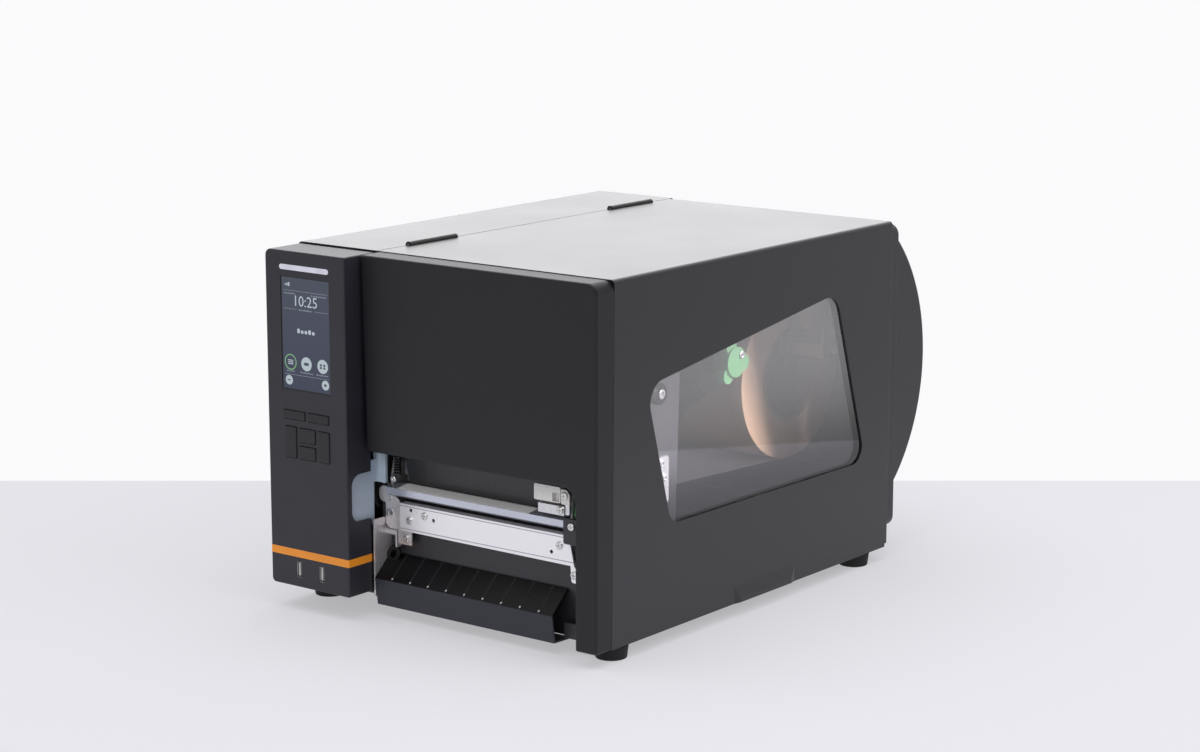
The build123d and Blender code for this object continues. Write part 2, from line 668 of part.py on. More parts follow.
def make_screw_tab():
    """Small tab below the front plate's left end that takes its lowest screw."""
    tab = block(-58.6, -46, FRONT_PLATE_Y, FRONT_PLATE_Y + SHEET, 61, 72.4)
    tab += block(-60.4, -58.6, FRONT_PLATE_Y, FRONT_PLATE_Y + SHEET, 61, 80)
    return tab


def make_tear_bar():
    """Polished bar across the mouth that labels are torn against."""
    corners = [(-214.5, 109.0), (-214.5, 103.5), (-209.6, 101.0), (-201.0, 101.0), (-201.0, 110.8)]
    return along_x(Polygon(*corners, align=None), TEAR_BAR_LEFT_X, TEAR_BAR_RIGHT_X)


def make_lower_apron():
    """Black sheet that closes the space between the front plate and the tray."""
    low = PAN_Z + SHEET + 0.5
    apron = block(TRAY_LEFT_X, 140, APRON_Y, APRON_Y + SHEET, low, 74)
    return apron + block(TRAY_LEFT_X, TRAY_RIGHT_X + 1.2, APRON_Y, APRON_Y + SHEET, 11.8, low)


def make_exit_tray():
    """Folded chute under the mouth, scored across its slope."""
    tray = along_x(strip(TRAY_POINTS, TRAY_SHEET), TRAY_LEFT_X, TRAY_RIGHT_X)
    (y0, z0), (y1, z1) = TRAY_POINTS[0], TRAY_POINTS[1]
    length = math.hypot(y1 - y0, z1 - z0)
    angle = math.degrees(math.atan2(z0 - z1, y0 - y1))
    step = (SCORE_LAST_X - SCORE_FIRST_X) / (SCORE_COUNT - 1)
    for i in range(SCORE_COUNT):
        x = SCORE_FIRST_X + i * step
        groove = Rot(angle, 0, 0) * Box(SCORE_WIDTH, length - 5, 2 * SCORE_DEPTH)
        tray -= Pos(x, (y0 + y1) / 2, (z0 + z1) / 2) * groove
    return tray


def make_platen_shaft():
    """Steel shaft from the drive pulley to the outboard plate."""
    return rod_x(PLATEN_Y, PLATEN_Z, PLATEN_SHAFT_RADIUS, BELT_X - 6, OUTER_PLATE_X + 6)


def make_platen_roller():
    """Rubber sleeve of the platen."""
    sleeve = rod_x(PLATEN_Y, PLATEN_Z, PLATEN_RADIUS, PLATEN_LEFT_X, PLATEN_RIGHT_X)
    return sleeve - rod_x(PLATEN_Y, PLATEN_Z, PLATEN_SHAFT_RADIUS, PLATEN_LEFT_X - 1, PLATEN_RIGHT_X + 1)


def toothed_pulley(y, z, radius, bore, teeth):
    """Timing pulley between two flanges."""
    half = BELT_WIDTH / 2
    wheel = rod_x(y, z, radius, BELT_X - half, BELT_X + half)
    for tooth_y, tooth_z in fan_points(y, z, radius, teeth):
        wheel -= rod_x(tooth_y, tooth_z, 0.8, BELT_X - half - 1, BELT_X + half + 1)
    for side in (-1, 1):
        x = BELT_X + side * (half + 0.5)
        wheel += rod_x(y, z, radius + 1.5, x - 0.5, x + 0.5)
    return wheel - rod_x(y, z, bore, BELT_X - 10, BELT_X + 10)


def make_drive_belt():
    """Timing belt: a closed loop round both pulleys."""
    inner = belt_loop(0.3)
    outer = belt_loop(1.8)
    half = BELT_WIDTH / 2 - 0.5
    return along_x(outer - inner, BELT_X - half, BELT_X + half)


def belt_loop(grow):
    """Region inside a belt that passes both pulleys at a distance of grow."""
    big = Pos(PLATEN_Y, PLATEN_Z) * Circle(PLATEN_PULLEY_RADIUS + grow)
    small = Pos(MOTOR_Y, MOTOR_Z) * Circle(MOTOR_PULLEY_RADIUS + grow)
    return make_hull(big.edges() + small.edges())


def make_stepper_motor():
    """Platen motor: square body, end boss and shaft."""
    body = block(-150, -106, MOTOR_Y - 28, MOTOR_Y + 28, MOTOR_Z - 28, MOTOR_Z + 28)
    body = chamfer(body.edges().filter_by(Axis.X), 4)
    boss = rod_x(MOTOR_Y, MOTOR_Z, 19, -106, -104)
    return body + boss + rod_x(MOTOR_Y, MOTOR_Z, 3, -104, -99.5)


def make_motor_pulley():
    """Small pulley with its stub of shaft."""
    wheel = toothed_pulley(MOTOR_Y, MOTOR_Z, MOTOR_PULLEY_RADIUS, 2, 14)
    return wheel + rod_x(MOTOR_Y, MOTOR_Z, 2, -99, BELT_X + 7)


def make_head_carriage():
    """Cast head carrier: ribbed heat sink on two arms that turn on the head shaft."""
    body = block(-60, 108, -200, -152, 118, 130)
    for i in range(7):
        y = -196 + i * 7
        body += block(-60, 108, y, y + 3, 130, 137)
    for x in (-60, 102):
        corners = [(-198, 118), (-198, 132), (-136, 152), (-122, 148), (-122, 136), (-150, 118)]
        body += along_x(outline(corners, [0, 4, 6, 6, 4, 4]), x, x + 6)
    body -= rod_x(HEAD_PIVOT_Y, HEAD_PIVOT_Z, HEAD_SHAFT_RADIUS + RUNNING, -70, 120)
    return body


def make_print_head():
    """Ceramic thermal head on the carrier's underside."""
    corners = [(-199, 118), (-199, 113), (-186, 110.2), (-160, 113), (-160, 118)]
    return along_x(Polygon(*corners, align=None), -58, 106)


def make_head_shaft():
    """Fixed shaft that the head carrier turns on."""
    right = OUTER_PLATE_X + PLATE_THICKNESS
    return rod_x(HEAD_PIVOT_Y, HEAD_PIVOT_Z, HEAD_SHAFT_RADIUS, INNER_PLATE_X, right)


def make_head_lever():
    """Coloured lever outboard of the plate that lifts the head."""
    x0 = OUTER_PLATE_X + PLATE_THICKNESS + 0.6
    corners = [(-156, 120), (-156, 136), (-172, 138), (-203, 120), (-205.6, 110), (-199, 107), (-172, 118)]
    arm = outline(corners, [6, 6, 6, 4, 3, 3, 8])
    lever = along_x(arm, x0, x0 + 6)
    pin = rod_x(LEVER_PIVOT_Y, LEVER_PIVOT_Z, LEVER_PIN_RADIUS, OUTER_PLATE_X - 4, x0)
    return lever + pin


def make_latch_block():
    """Pale moulding, steel keeper and upright strap beside the outboard end of the print head."""
    pale = block(86.5, 113, -212.5, -206.5, 121.5, 134.5)
    pale = fillet(pale.edges().filter_by(Axis.Y), 1.5) - block(105, 112, -213, -208, 122.4, 129.5)
    keeper = block(91, 117, KEEPER_Y, -206.5, 111.4, 120.3)
    corners = [(113.4, 133), (118.5, 133), (121.6, 129.5), (121.6, 113)]
    corners += [(117.4, 113), (117.4, 121), (113.4, 121)]
    strap = along_y(outline(corners, [1, 1, 1, 1, 0.5, 0, 0.5]), KEEPER_Y + 1, KEEPER_Y + 1 + SHEET)
    return Compound(children=[pale, chamfer(keeper.edges().filter_by(Axis.X), 0.8), strap])


def spindle(y, z, x_left):
    """Ribbon spindle: finned core on a through shaft."""
    x0, x1 = SPINDLE_X
    core = rod_x(y, z, SPINDLE_RADIUS, x0, x1)
    fin = Pos((x0 + x1) / 2, 0, 0) * Box(x1 - x0, FIN_THICKNESS, 2 * (SPINDLE_RADIUS + FIN_HEIGHT))
    for i in range(3):
        core += Pos(0, y, z) * Rot(60 * i, 0, 0) * fin
    return core + rod_x(y, z, SPINDLE_SHAFT_RADIUS, x_left, 116)


def make_supply_hub():
    """Coloured three-lobed end of the supply spindle."""
    hub = rod_x(SUPPLY_Y, SUPPLY_Z, 13, 105, 121)
    for i in range(3):
        lobe = Pos(113, 0, 14) * Rot(0, 90, 0) * Cylinder(7, 12)
        hub += Pos(0, SUPPLY_Y, SUPPLY_Z) * Rot(120 * i + 20, 0, 0) * lobe
    return hub - rod_x(SUPPLY_Y, SUPPLY_Z, SPINDLE_SHAFT_RADIUS, 100, 116)


def make_supply_ribbon():
    """Wound ribbon round the supply spindle's fins."""
    roll = rod_x(SUPPLY_Y, SUPPLY_Z, SUPPLY_ROLL_RADIUS, -56, 96)
    return roll - rod_x(SUPPLY_Y, SUPPLY_Z, SPINDLE_RADIUS + 1.8, -57, 97)


def make_ribbon_film():
    """The ribbon's run from the supply, under the head and up to the rewind, as a thin band."""
    points = [
        (SUPPLY_Y, SUPPLY_Z - 28.5),
        (-112, 124),
        (-160, 109.6),
        (-190, 109.45),
        (-202.5, 112.0),
        (-208.5, 150),
        (REWIND_Y - 22.4, REWIND_Z - 4),
    ]
    line = Polyline(*points)
    band = make_face(offset(line, amount=FILM, side=Side.LEFT, closed=True))
    return along_x(band, -53.4, 92)


def make_tension_knob():
    """Ribbon tension knob on the outboard plate."""
    x = OUTER_PLATE_X + PLATE_THICKNESS + 0.4
    knob = rod_x(KNOB_Y, KNOB_Z, KNOB_RADIUS, x, x + KNOB_LENGTH)
    knob = fillet(knob.edges().sort_by(Axis.X)[-1], 1.5)
    return knob + rod_x(KNOB_Y, KNOB_Z, KNOB_SHAFT_RADIUS, OUTER_PLATE_X - 3, x)


# ------------------------------------------------------------------ media

def make_media_plate():
    """Sheet that the web runs over, from the roll side to the platen."""
    return block(-66, 116, -178, -84, 96.5, 98)


def make_guide_shaft():
    """Round rail that the media guide slides on."""
    return rod_x(GUIDE_SHAFT_Y, GUIDE_SHAFT_Z, GUIDE_SHAFT_RADIUS, -68, OUTER_PLATE_X)


def make_media_guide():
    """Coloured edge guide that slides across the web."""
    corners = [(-112, 100), (-112, 119.5), (-88, 119.5), (-78, 100)]
    plate = along_x(outline(corners, [3, 5, 5, 3]), 90, 94)
    boss = rod_x(GUIDE_SHAFT_Y, GUIDE_SHAFT_Z, 7, 88, 100)
    return plate + boss - rod_x(GUIDE_SHAFT_Y, GUIDE_SHAFT_Z, GUIDE_SHAFT_RADIUS + RUNNING, 80, 110)


def make_hanger_bar():
    """Label hanger: channel bar from the wall with an upturned end."""
    half = HANGER_WIDTH / 2
    left = WALL_X + WALL_THICKNESS
    bar = block(left, HANGER_END_X, ROLL_Y - half, ROLL_Y + half, HANGER_TOP - HANGER_DEPTH, HANGER_TOP)
    bar = fillet(bar.edges().filter_by(Axis.X).sort_by(Axis.Z)[-2:], 4)
    bar -= block(left + 6, HANGER_END_X - 3, ROLL_Y - half + 2.5, ROLL_Y + half - 2.5,
                 HANGER_TOP - HANGER_DEPTH - 1, HANGER_TOP - 3)
    lip = block(HANGER_END_X - 3, HANGER_END_X, ROLL_Y - half, ROLL_Y + half, HANGER_TOP - HANGER_DEPTH, 212)
    lip = fillet(lip.edges().filter_by(Axis.X), 2.5)
    foot = block(left, left + 3, ROLL_Y - 22, ROLL_Y + 22, 165, 215)
    return bar + lip + fillet(foot.edges().filter_by(Axis.X), 6)


def make_hanger_guard():
    """Sliding keeper that stands on the hanger against the roll's face."""
    half = HANGER_WIDTH / 2
    x0 = ROLL_RIGHT_X + 1.5
    collar = block(x0, x0 + 8, ROLL_Y - half - 3, ROLL_Y + half + 3, HANGER_TOP - 20, HANGER_TOP + 4)
    room = block(x0 - 1, x0 + 9, ROLL_Y - half - 0.1, ROLL_Y + half + 0.1,
                 HANGER_TOP - HANGER_DEPTH - 0.1, HANGER_TOP + 0.1)
    blade = block(x0, x0 + 3, ROLL_Y - 5, ROLL_Y + 5, HANGER_TOP + 4, 226)
    arm = block(x0, x0 + 3, ROLL_Y - 6, ROLL_Y + 6, 130, HANGER_TOP - 20)
    return collar - room + fillet(blade.edges().filter_by(Axis.X).sort_by(Axis.Z)[-2:], 3) + arm


def make_label_core():
    """Card tube that the labels are wound on."""
    tube = rod_x(ROLL_Y, ROLL_Z, CORE_RADIUS + CORE_WALL, ROLL_LEFT_X, ROLL_RIGHT_X)
    return tube - rod_x(ROLL_Y, ROLL_Z, CORE_RADIUS, ROLL_LEFT_X - 1, ROLL_RIGHT_X + 1)


def make_label_roll():
    """Wound label stock."""
    roll = rod_x(ROLL_Y, ROLL_Z, ROLL_RADIUS, ROLL_LEFT_X + 0.5, ROLL_RIGHT_X - 0.5)
    return roll - rod_x(ROLL_Y, ROLL_Z, CORE_RADIUS + CORE_WALL, ROLL_LEFT_X - 1, ROLL_RIGHT_X + 1)


# ------------------------------------------------------------------ electronics and sockets

def socket(bounds, wall, depth, tongue):
    """A box-shaped socket with a cavity open to the rear and a contact tongue inside."""
    x0, x1, z0, z1 = bounds
    back = REAR_FRAME_BACK_Y + 0.6
    shell = block(x0, x1, back - depth, back, z0, z1)
    shell -= block(x0 + wall, x1 - wall, back - depth + 3, back + 1, z0 + wall, z1 - wall)
    tx0, tx1, tz0, tz1 = tongue
    return shell + block(tx0, tx1, back - depth + 2, back - depth + 5, tz0, tz1)


def make_power_inlet():
    """Mains inlet with three blades."""
    x0, x1, z0, z1 = INLET
    back = REAR_FRAME_BACK_Y + 0.6
    inlet = socket(INLET, 3.0, 20.0, (x0 + 5, x1 - 5, z0 + 5, z1 - 5))
    mid_x = (x0 + x1) / 2
    mid_z = (z0 + z1) / 2
    for dx, dz in ((-7, -2), (0, 3), (7, -2)):
        inlet += block(mid_x + dx - 1, mid_x + dx + 1, back - 17, back - 4, mid_z + dz - 2, mid_z + dz + 2)
    return inlet


def make_rear_ports():
    """Network, USB and serial sockets."""
    ports = []
    for bounds, wall in ((ETHERNET, 1.5), (USB_DEVICE, 1.2), (SERIAL, 1.5)):
        x0, x1, z0, z1 = bounds
        ports.append(socket(bounds, wall, 16.0, (x0 + 3, x1 - 3, z0 + 3, z1 - 3)))
    return Compound(children=ports)


def make_power_rocker():
    """Mains rocker, level at rest."""
    x0, x1, z0, z1 = ROCKER
    mid_z = (z0 + z1) / 2
    y = REAR_FRAME_BACK_Y
    half = (z1 - z0) / 2 - 1.2
    corners = [(y - 5, mid_z - half), (y + 1.6, mid_z - half), (y + 0.2, mid_z), (y + 1.6, mid_z + half),
               (y - 5, mid_z + half)]
    return along_x(Polygon(*corners, align=None), x0 + 0.8, x1 - 0.8)


def make_main_board():
    """Printed circuit board on the centre wall, with its chips and connectors."""
    board = block(WALL_X - 9.6, WALL_X - 8, -80, 150, 120, 270)
    for y, z in ((-70, 130), (-70, 260), (140, 130), (140, 260)):
        board += rod_x(y, z, 3, WALL_X - 8, WALL_X)
    for y, z, wide, tall, high in ((0, 210, 28, 28, 3), (50, 180, 18, 12, 4), (-50, 150, 30, 10, 9),
                                   (90, 235, 12, 40, 9), (110, 150, 22, 16, 12)):
        x = WALL_X - 9.6
        board += block(x - high, x, y - wide / 2, y + wide / 2, z - tall / 2, z + tall / 2)
    return board


def make_power_supply():
    """Power supply in a sheet case on the floor of the electronics bay, open for its fan at the rear."""
    x0, x1, y0, y1, z0, z1 = SUPPLY_CASE
    case = chamfer(block(*SUPPLY_CASE).edges().filter_by(Axis.Y), 1.5)
    wall = SUPPLY_CASE_WALL
    room = block(x0 + wall, x1 - wall, y0 + wall, y1 - wall, z0 + wall, z1 - wall)
    fan = rod_y((x0 + x1) / 2, (z0 + z1) / 2, FAN_RADIUS, y1 - wall - 1, y1 + 1)
    return case - room - fan


def make_rewind_motor():
    """Gear motor that winds up the spent ribbon, on the electronics side of the wall."""
    return rod_x(REWIND_Y, REWIND_Z, 14, -130, -100) + rod_x(REWIND_Y, REWIND_Z, 17, -100, -92)


def pan_screw(x, y, z, radius):
    """Pan-head screw facing the front, with a cross recess."""
    head = rod_y(x, z, radius, y - 1.8, y)
    head = fillet(head.edges().sort_by(Axis.Y)[0], 0.9)
    slot = 0.7
    head -= block(x - radius * 0.6, x + radius * 0.6, y - 2, y - 0.9, z - slot / 2, z + slot / 2)
    return head - block(x - slot / 2, x + slot / 2, y - 2, y - 0.9, z - radius * 0.6, z + radius * 0.6)


def make_mech_screws():
    """Screws of the front plate and its brackets."""
    return Compound(children=[pan_screw(x, y, z, SCREW_HEAD_RADIUS) for x, y, z in SCREWS])


parts = {
    "base_pan": make_base_pan(),
    "feet": make_feet(),
    "centre_wall": make_centre_wall(),
    "left_cover": make_left_cover(),
    "rear_frame": make_rear_frame(),
    "rear_bulge": make_rear_bulge(),
    "panel_housing": make_panel_housing(),
    "accent_stripe": stripe_shape(),
    "status_light": make_status_light(),
    "display_glass": make_display_glass(),
    "usb_ports": make_usb_ports(),
    "front_bezel": make_front_bezel(),
    "door_cover": make_door_cover(),
    "window_pane": make_window_pane(),
    "hinge_leaf_fixed": hinge_leaves(True),
    "hinge_leaf_door": hinge_leaves(False),
    "hinge_pins": make_hinge_pins(),
    "inner_cheek": make_inner_cheek(),
    "cheek_plates": Compound(children=[make_cheek_plate() + make_standoff(), make_left_bracket()]),
    "inner_plate": make_inner_plate(),
    "outer_plate": make_outer_plate(),
    "front_plate": make_front_plate(),
    "tear_bar": make_tear_bar(),
    "lower_apron": Compound(children=[make_lower_apron(), make_mouth_flange()]),
    "exit_tray": make_exit_tray(),
    "platen_shaft": make_platen_shaft(),
    "platen_roller": make_platen_roller(),
    "platen_pulley": toothed_pulley(PLATEN_Y, PLATEN_Z, PLATEN_PULLEY_RADIUS, PLATEN_SHAFT_RADIUS, 28),
    "motor_pulley": make_motor_pulley(),
    "drive_belt": make_drive_belt(),
    "stepper_motor": Compound(children=[make_stepper_motor(), make_rewind_motor()]),
    "head_carriage": make_head_carriage(),
    "print_head": make_print_head(),
    "head_lever": make_head_lever(),
    "latch_block": make_latch_block(),
    "rewind_spindle": spindle(REWIND_Y, REWIND_Z, -91),
    "supply_spindle": spindle(SUPPLY_Y, SUPPLY_Z, -84),
    "supply_ribbon": make_supply_ribbon(),
    "supply_hub": make_supply_hub(),
    "ribbon_film": make_ribbon_film(),
    "tension_knob": make_tension_knob(),
    "media_plate": make_media_plate(),
    "mech_shafts": Compound(children=[make_head_shaft(), make_guide_shaft()]),
    "media_guide": make_media_guide(),
    "hanger_bar": make_hanger_bar(),
    "hanger_guard": make_hanger_guard(),
    "label_core": make_label_core(),
    "label_roll": make_label_roll(),
    "power_inlet": make_power_inlet(),
    "rear_ports": make_rear_ports(),
    "power_rocker": make_power_rocker(),
    "circuit_boards": Compound(children=[make_main_board(), make_keypad_board()]),
    "power_supply": make_power_supply(),
    "mech_screws": make_mech_screws(),
}
for name, bounds in KEYS.items():
    parts[name] = make_key(bounds)

os.makedirs("parts", exist_ok=True)
for name, shape in parts.items():
    export_step(shape, f"parts/{name}.step")
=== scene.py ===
import math

import bmesh
import bpy
import numpy as np
from mathutils import Matrix, Vector


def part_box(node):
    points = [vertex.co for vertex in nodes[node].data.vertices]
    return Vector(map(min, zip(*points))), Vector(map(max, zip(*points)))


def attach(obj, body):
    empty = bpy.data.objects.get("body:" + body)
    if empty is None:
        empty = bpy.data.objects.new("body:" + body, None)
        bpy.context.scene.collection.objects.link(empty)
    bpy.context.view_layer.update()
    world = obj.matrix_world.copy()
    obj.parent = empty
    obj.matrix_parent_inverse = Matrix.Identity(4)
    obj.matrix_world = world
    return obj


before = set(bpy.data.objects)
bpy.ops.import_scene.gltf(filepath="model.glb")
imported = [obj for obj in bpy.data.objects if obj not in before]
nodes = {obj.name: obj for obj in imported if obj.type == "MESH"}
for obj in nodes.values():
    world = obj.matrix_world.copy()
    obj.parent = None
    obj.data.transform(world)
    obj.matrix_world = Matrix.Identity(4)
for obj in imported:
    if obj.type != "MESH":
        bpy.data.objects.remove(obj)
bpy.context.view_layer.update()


# ---- Steel covers ----
# The left cover and the door are 1.5 mm steel sheets, folded over one long edge and powder-coated
# black. The coat cures to a fine orange peel and is a little shinier on the folds, which are also
# painted lighter as a painted highlight.

class Field:
    """A number that varies over a surface. Each operator adds the Math node that works it out."""

    def __init__(self, tree, socket):
        self.tree = tree
        self.socket = socket

    def maths(self, operation, *values):
        node = self.tree.nodes.new("ShaderNodeMath")
        node.operation = operation
        for place, value in enumerate(values):
            if isinstance(value, Field):
                self.tree.links.new(value.socket, node.inputs[place])
            else:
                node.inputs[place].default_value = value
        return Field(self.tree, node.outputs[0])

    def __add__(self, other):
        return self.maths("ADD", self, other)

    def __radd__(self, other):
        return self.maths("ADD", other, self)

    def __sub__(self, other):
        return self.maths("SUBTRACT", self, other)

    def __rsub__(self, other):
        return self.maths("SUBTRACT", other, self)

    def __mul__(self, other):
        return self.maths("MULTIPLY", self, other)

    def __rmul__(self, other):
        return self.maths("MULTIPLY", other, self)

    def __truediv__(self, other):
        return self.maths("DIVIDE", self, other)

    def __pow__(self, other):
        return self.maths("POWER", self, other)

    def __abs__(self):
        return self.maths("ABSOLUTE", self)

    def above(self, level, blur):
        """0 below the level and 1 above it, turning smoothly over the blur."""
        node = self.tree.nodes.new("ShaderNodeMapRange")
        node.interpolation_type = "SMOOTHSTEP"
        node.inputs["From Min"].default_value = level - blur / 2
        node.inputs["From Max"].default_value = level + blur / 2
        self.tree.links.new(self.socket, node.inputs["Value"])
        return Field(self.tree, node.outputs["Result"])

    def near(self, centre, half_width, blur):
        """1 within half a width of the centre and 0 outside it."""
        return 1 - abs(self - centre).above(half_width, blur)


class Finish:
    """A material in the making: a Principled shader, and one method that adds any other node."""

    def __init__(self, name, **constants):
        self.material = bpy.data.materials.new(name)
        self.material.use_nodes = True
        self.tree = self.material.node_tree
        self.tree.nodes.clear()
        self.shader = self.add("ShaderNodeBsdfPrincipled", {}, constants)
        self.output = self.add("ShaderNodeOutputMaterial", {}, {"Surface": self.shader.outputs[0]})
        self.where = self.add("ShaderNodeTexCoord").outputs["Object"]

    def add(self, kind, settings=None, values=None):
        """Adds a node of a type: its settings first, then a value or a link for each socket."""
        node = self.tree.nodes.new(kind)
        for name, value in (settings or {}).items():
            setattr(node, name, value)
        for name, value in (values or {}).items():
            self.feed(node.inputs[name.replace("_", " ") if isinstance(name, str) else name], value)
        return node

    def feed(self, socket, value):
        """Links a socket to a field or another socket, or sets it to a constant."""
        if isinstance(value, Field):
            value = value.socket
        if isinstance(value, bpy.types.NodeSocket):
            self.tree.links.new(value, socket)
        elif isinstance(value, tuple) and len(value) == 3 and len(socket.default_value) == 4:
            socket.default_value = (*value, 1)
        else:
            socket.default_value = value

    def give(self, **varying):
        """Feeds sockets of the shader with what varies over the surface."""
        for name, value in varying.items():
            self.feed(self.shader.inputs[name.replace("_", " ")], value)

    def axis(self, letter):
        """One object coordinate, in metres."""
        split = self.add("ShaderNodeSeparateXYZ", {}, {0: self.where})
        return Field(self.tree, split.outputs[letter])

    def spread_out(self, size, stretch):
        """Object coordinates in units of a size in metres, drawn out by a factor along each axis."""
        spread = tuple(1 / (size * factor) for factor in stretch)
        return self.add("ShaderNodeMapping", {}, {"Vector": self.where, "Scale": spread}).outputs[0]

    def noise(self, size, detail=2.0, stretch=(1, 1, 1)):
        """Cloudy noise about 0.5, whose blotches are about one size across, in metres."""
        place = self.spread_out(size, stretch)
        cloud = self.add("ShaderNodeTexNoise", {}, {"Vector": place, "Scale": 1.0, "Detail": detail})
        return Field(self.tree, cloud.outputs[0])

    def cells(self, size, stretch=(1, 1, 1)):
        """Distance from the nearest of many scattered points, about one size apart, in metres."""
        place = self.spread_out(size, stretch)
        points = self.add("ShaderNodeTexVoronoi", {}, {"Vector": place, "Scale": 1.0})
        return Field(self.tree, points.outputs["Distance"])

    def colour(self, factor, low, high):
        """A colour from low to high as the factor goes from 0 to 1."""
        mix = self.add("ShaderNodeMix", {"data_type": "RGBA"}, {0: factor, 6: low, 7: high})
        return mix.outputs[2]

    def edges(self, radius):
        """1 on the edges and corners of a shape and 0 on its flats."""
        rounded = self.add("ShaderNodeBevel", {"samples": 4}, {"Radius": radius})
        true = self.add("ShaderNodeNewGeometry")
        likeness = self.add("ShaderNodeVectorMath", {"operation": "DOT_PRODUCT"},
                            {0: rounded.outputs[0], 1: true.outputs["Normal"]})
        return (1 - Field(self.tree, likeness.outputs["Value"])).above(0.1, 0.2)

    def relief(self, height, depth, edge_radius=0.0):
        """Bumps of a height in 0..1 times a depth in metres, on edges softened by a radius."""
        bump = self.add("ShaderNodeBump", {}, {"Height": height, "Distance": depth, "Strength": 1.0})
        if edge_radius:
            soft = self.add("ShaderNodeBevel", {"samples": 4}, {"Radius": edge_radius})
            self.feed(bump.inputs["Normal"], soft.outputs[0])
        self.give(Normal=bump.outputs[0])


def wear(material, *names):
    """Puts a material on CAD nodes."""
    for name in names:
        for place in nodes[name].material_slots:
            place.material = material


def between(tone, darker, lighter, brightest=2.0):
    """A tone made darker by one factor and lighter by another, the two ends of a mix."""
    return tuple(darker * c for c in tone), tuple(min(lighter * c, brightest) for c in tone)


def powder_coat(name, tone, gloss):
    """Black powder coat: fine orange peel, faint cloudiness, and glossier folds that are also painted
    lighter as a painted highlight.
    """
    coat = Finish(name, Specular_IOR_Level=0.5, IOR=1.5, Coat_Roughness=0.30, Coat_IOR=1.5)
    peel = coat.noise(0.0009, 2.0)
    clouds = coat.noise(0.07, 3.0)
    coat_edge_gloss_and_highlight = coat.edges(0.0008)
    # Folds and edges are painted lighter: a painted highlight. Their lower roughness is real gloss.
    shade = coat.colour(clouds * 0.6 + coat_edge_gloss_and_highlight * 0.3, *between(tone, 0.75, 1.3))
    coat.give(Base_Color=shade, Roughness=gloss + 0.06 * clouds - 0.06 * coat_edge_gloss_and_highlight,
              Coat_Weight=0.1 + 0.2 * peel)
    coat.relief(peel, 0.00002, 0.0006)
    return coat.material


cover_coat = powder_coat("cover_powder_coat", (0.0120, 0.0117, 0.0165), 0.40)
wear(cover_coat, "left_cover", "door_cover")
wear(powder_coat("hidden_powder_coat", (0.034, 0.033, 0.040), 0.46), "base_pan", "lower_apron")


# ---- Hinges ----
# Two butt hinges on the top seam. Their knuckles are painted with the covers and their pins are
# plain steel.

hinge_paint = powder_coat("hinge_paint", (0.006, 0.006, 0.007), 0.42)
wear(hinge_paint, "hinge_leaf_fixed", "hinge_leaf_door")


def bare_metal(name, tone, gloss, grain=(1, 1, 1), grain_size=0.0006, depth=0.000006,
               metallic=1.0):
    """Bare metal with a grain drawn out along its long direction, faint smears, and glossier edges that
    are also painted lighter as a painted highlight.
    """
    metal = Finish(name, Metallic=metallic)
    lines = metal.noise(grain_size, 3.0, grain)
    smears = metal.noise(0.03, 4.0)
    bright = metal.edges(0.0005)
    # Edges are painted lighter: a painted highlight. Their lower roughness is real gloss.
    shade = metal.colour(0.5 * smears + 0.3 * lines + 0.3 * bright, *between(tone, 0.72, 1.12, 1.0))
    metal.give(Base_Color=shade, Roughness=gloss + 0.10 * smears + 0.06 * lines - 0.05 * bright)
    metal.relief(lines, depth, 0.0004)
    return metal.material


wear(bare_metal("pin_steel", (0.42, 0.42, 0.43), 0.30, (1, 20, 1)), "hinge_pins")


# ---- Rear mouldings ----
# The rear frame and the curved roll cover are injection-moulded black ABS with a spark-eroded
# texture, screwed to the case from behind.

def moulded_plastic(name, tone, gloss, texture=0.0005, depth=0.00002):
    """Textured plastic: spark-eroded grain, faint flow marks, and glossier edges that are also painted
    lighter as a painted highlight.
    """
    plastic = Finish(name, Specular_IOR_Level=0.5, IOR=1.5)
    grain = plastic.noise(texture, 3.0)
    flow = plastic.noise(0.05, 2.0, (1, 1, 0.4))
    plastic_edge_gloss_and_highlight = plastic.edges(0.0007)
    # Edges are painted lighter: a painted highlight. Their lower roughness is real gloss.
    shade = plastic.colour(0.7 * flow + 0.35 * plastic_edge_gloss_and_highlight, *between(tone, 0.8, 1.25))
    plastic.give(Base_Color=shade, Roughness=gloss + 0.07 * grain - 0.08 * plastic_edge_gloss_and_highlight)
    plastic.relief(grain, depth, 0.0005)
    return plastic.material


wear(moulded_plastic("rear_plastic", (0.026, 0.026, 0.031), 0.42), "rear_frame", "rear_bulge")


# ---- Control column ----
# A hollow column of black polycarbonate that carries the display, keys and sockets. Its face is
# satin and its stripe is a separate orange strip snapped into a groove.

wear(moulded_plastic("column_plastic", (0.0235, 0.0232, 0.0330), 0.46), "panel_housing")
stripe_orange = moulded_plastic("stripe_plastic", (1.0, 0.34, 0.020), 0.38, 0.0004, 0.00001)
wear(stripe_orange, "accent_stripe")


# ---- Keys ----
# Six key caps of soft-coated plastic, a shade darker than the column. Each slides in its own
# cut-out and presses on a dome behind it.

wear(moulded_plastic("key_plastic", (0.017, 0.016, 0.018), 0.50, 0.0004, 0.00003),
     "soft_key_left", "soft_key_right", "key_left", "key_up", "key_down", "key_right")


# ---- Status lamp ----
# A frosted bar of clear acrylic, snapped into a slot above the display. It spreads the light of
# two diodes behind the column's face.

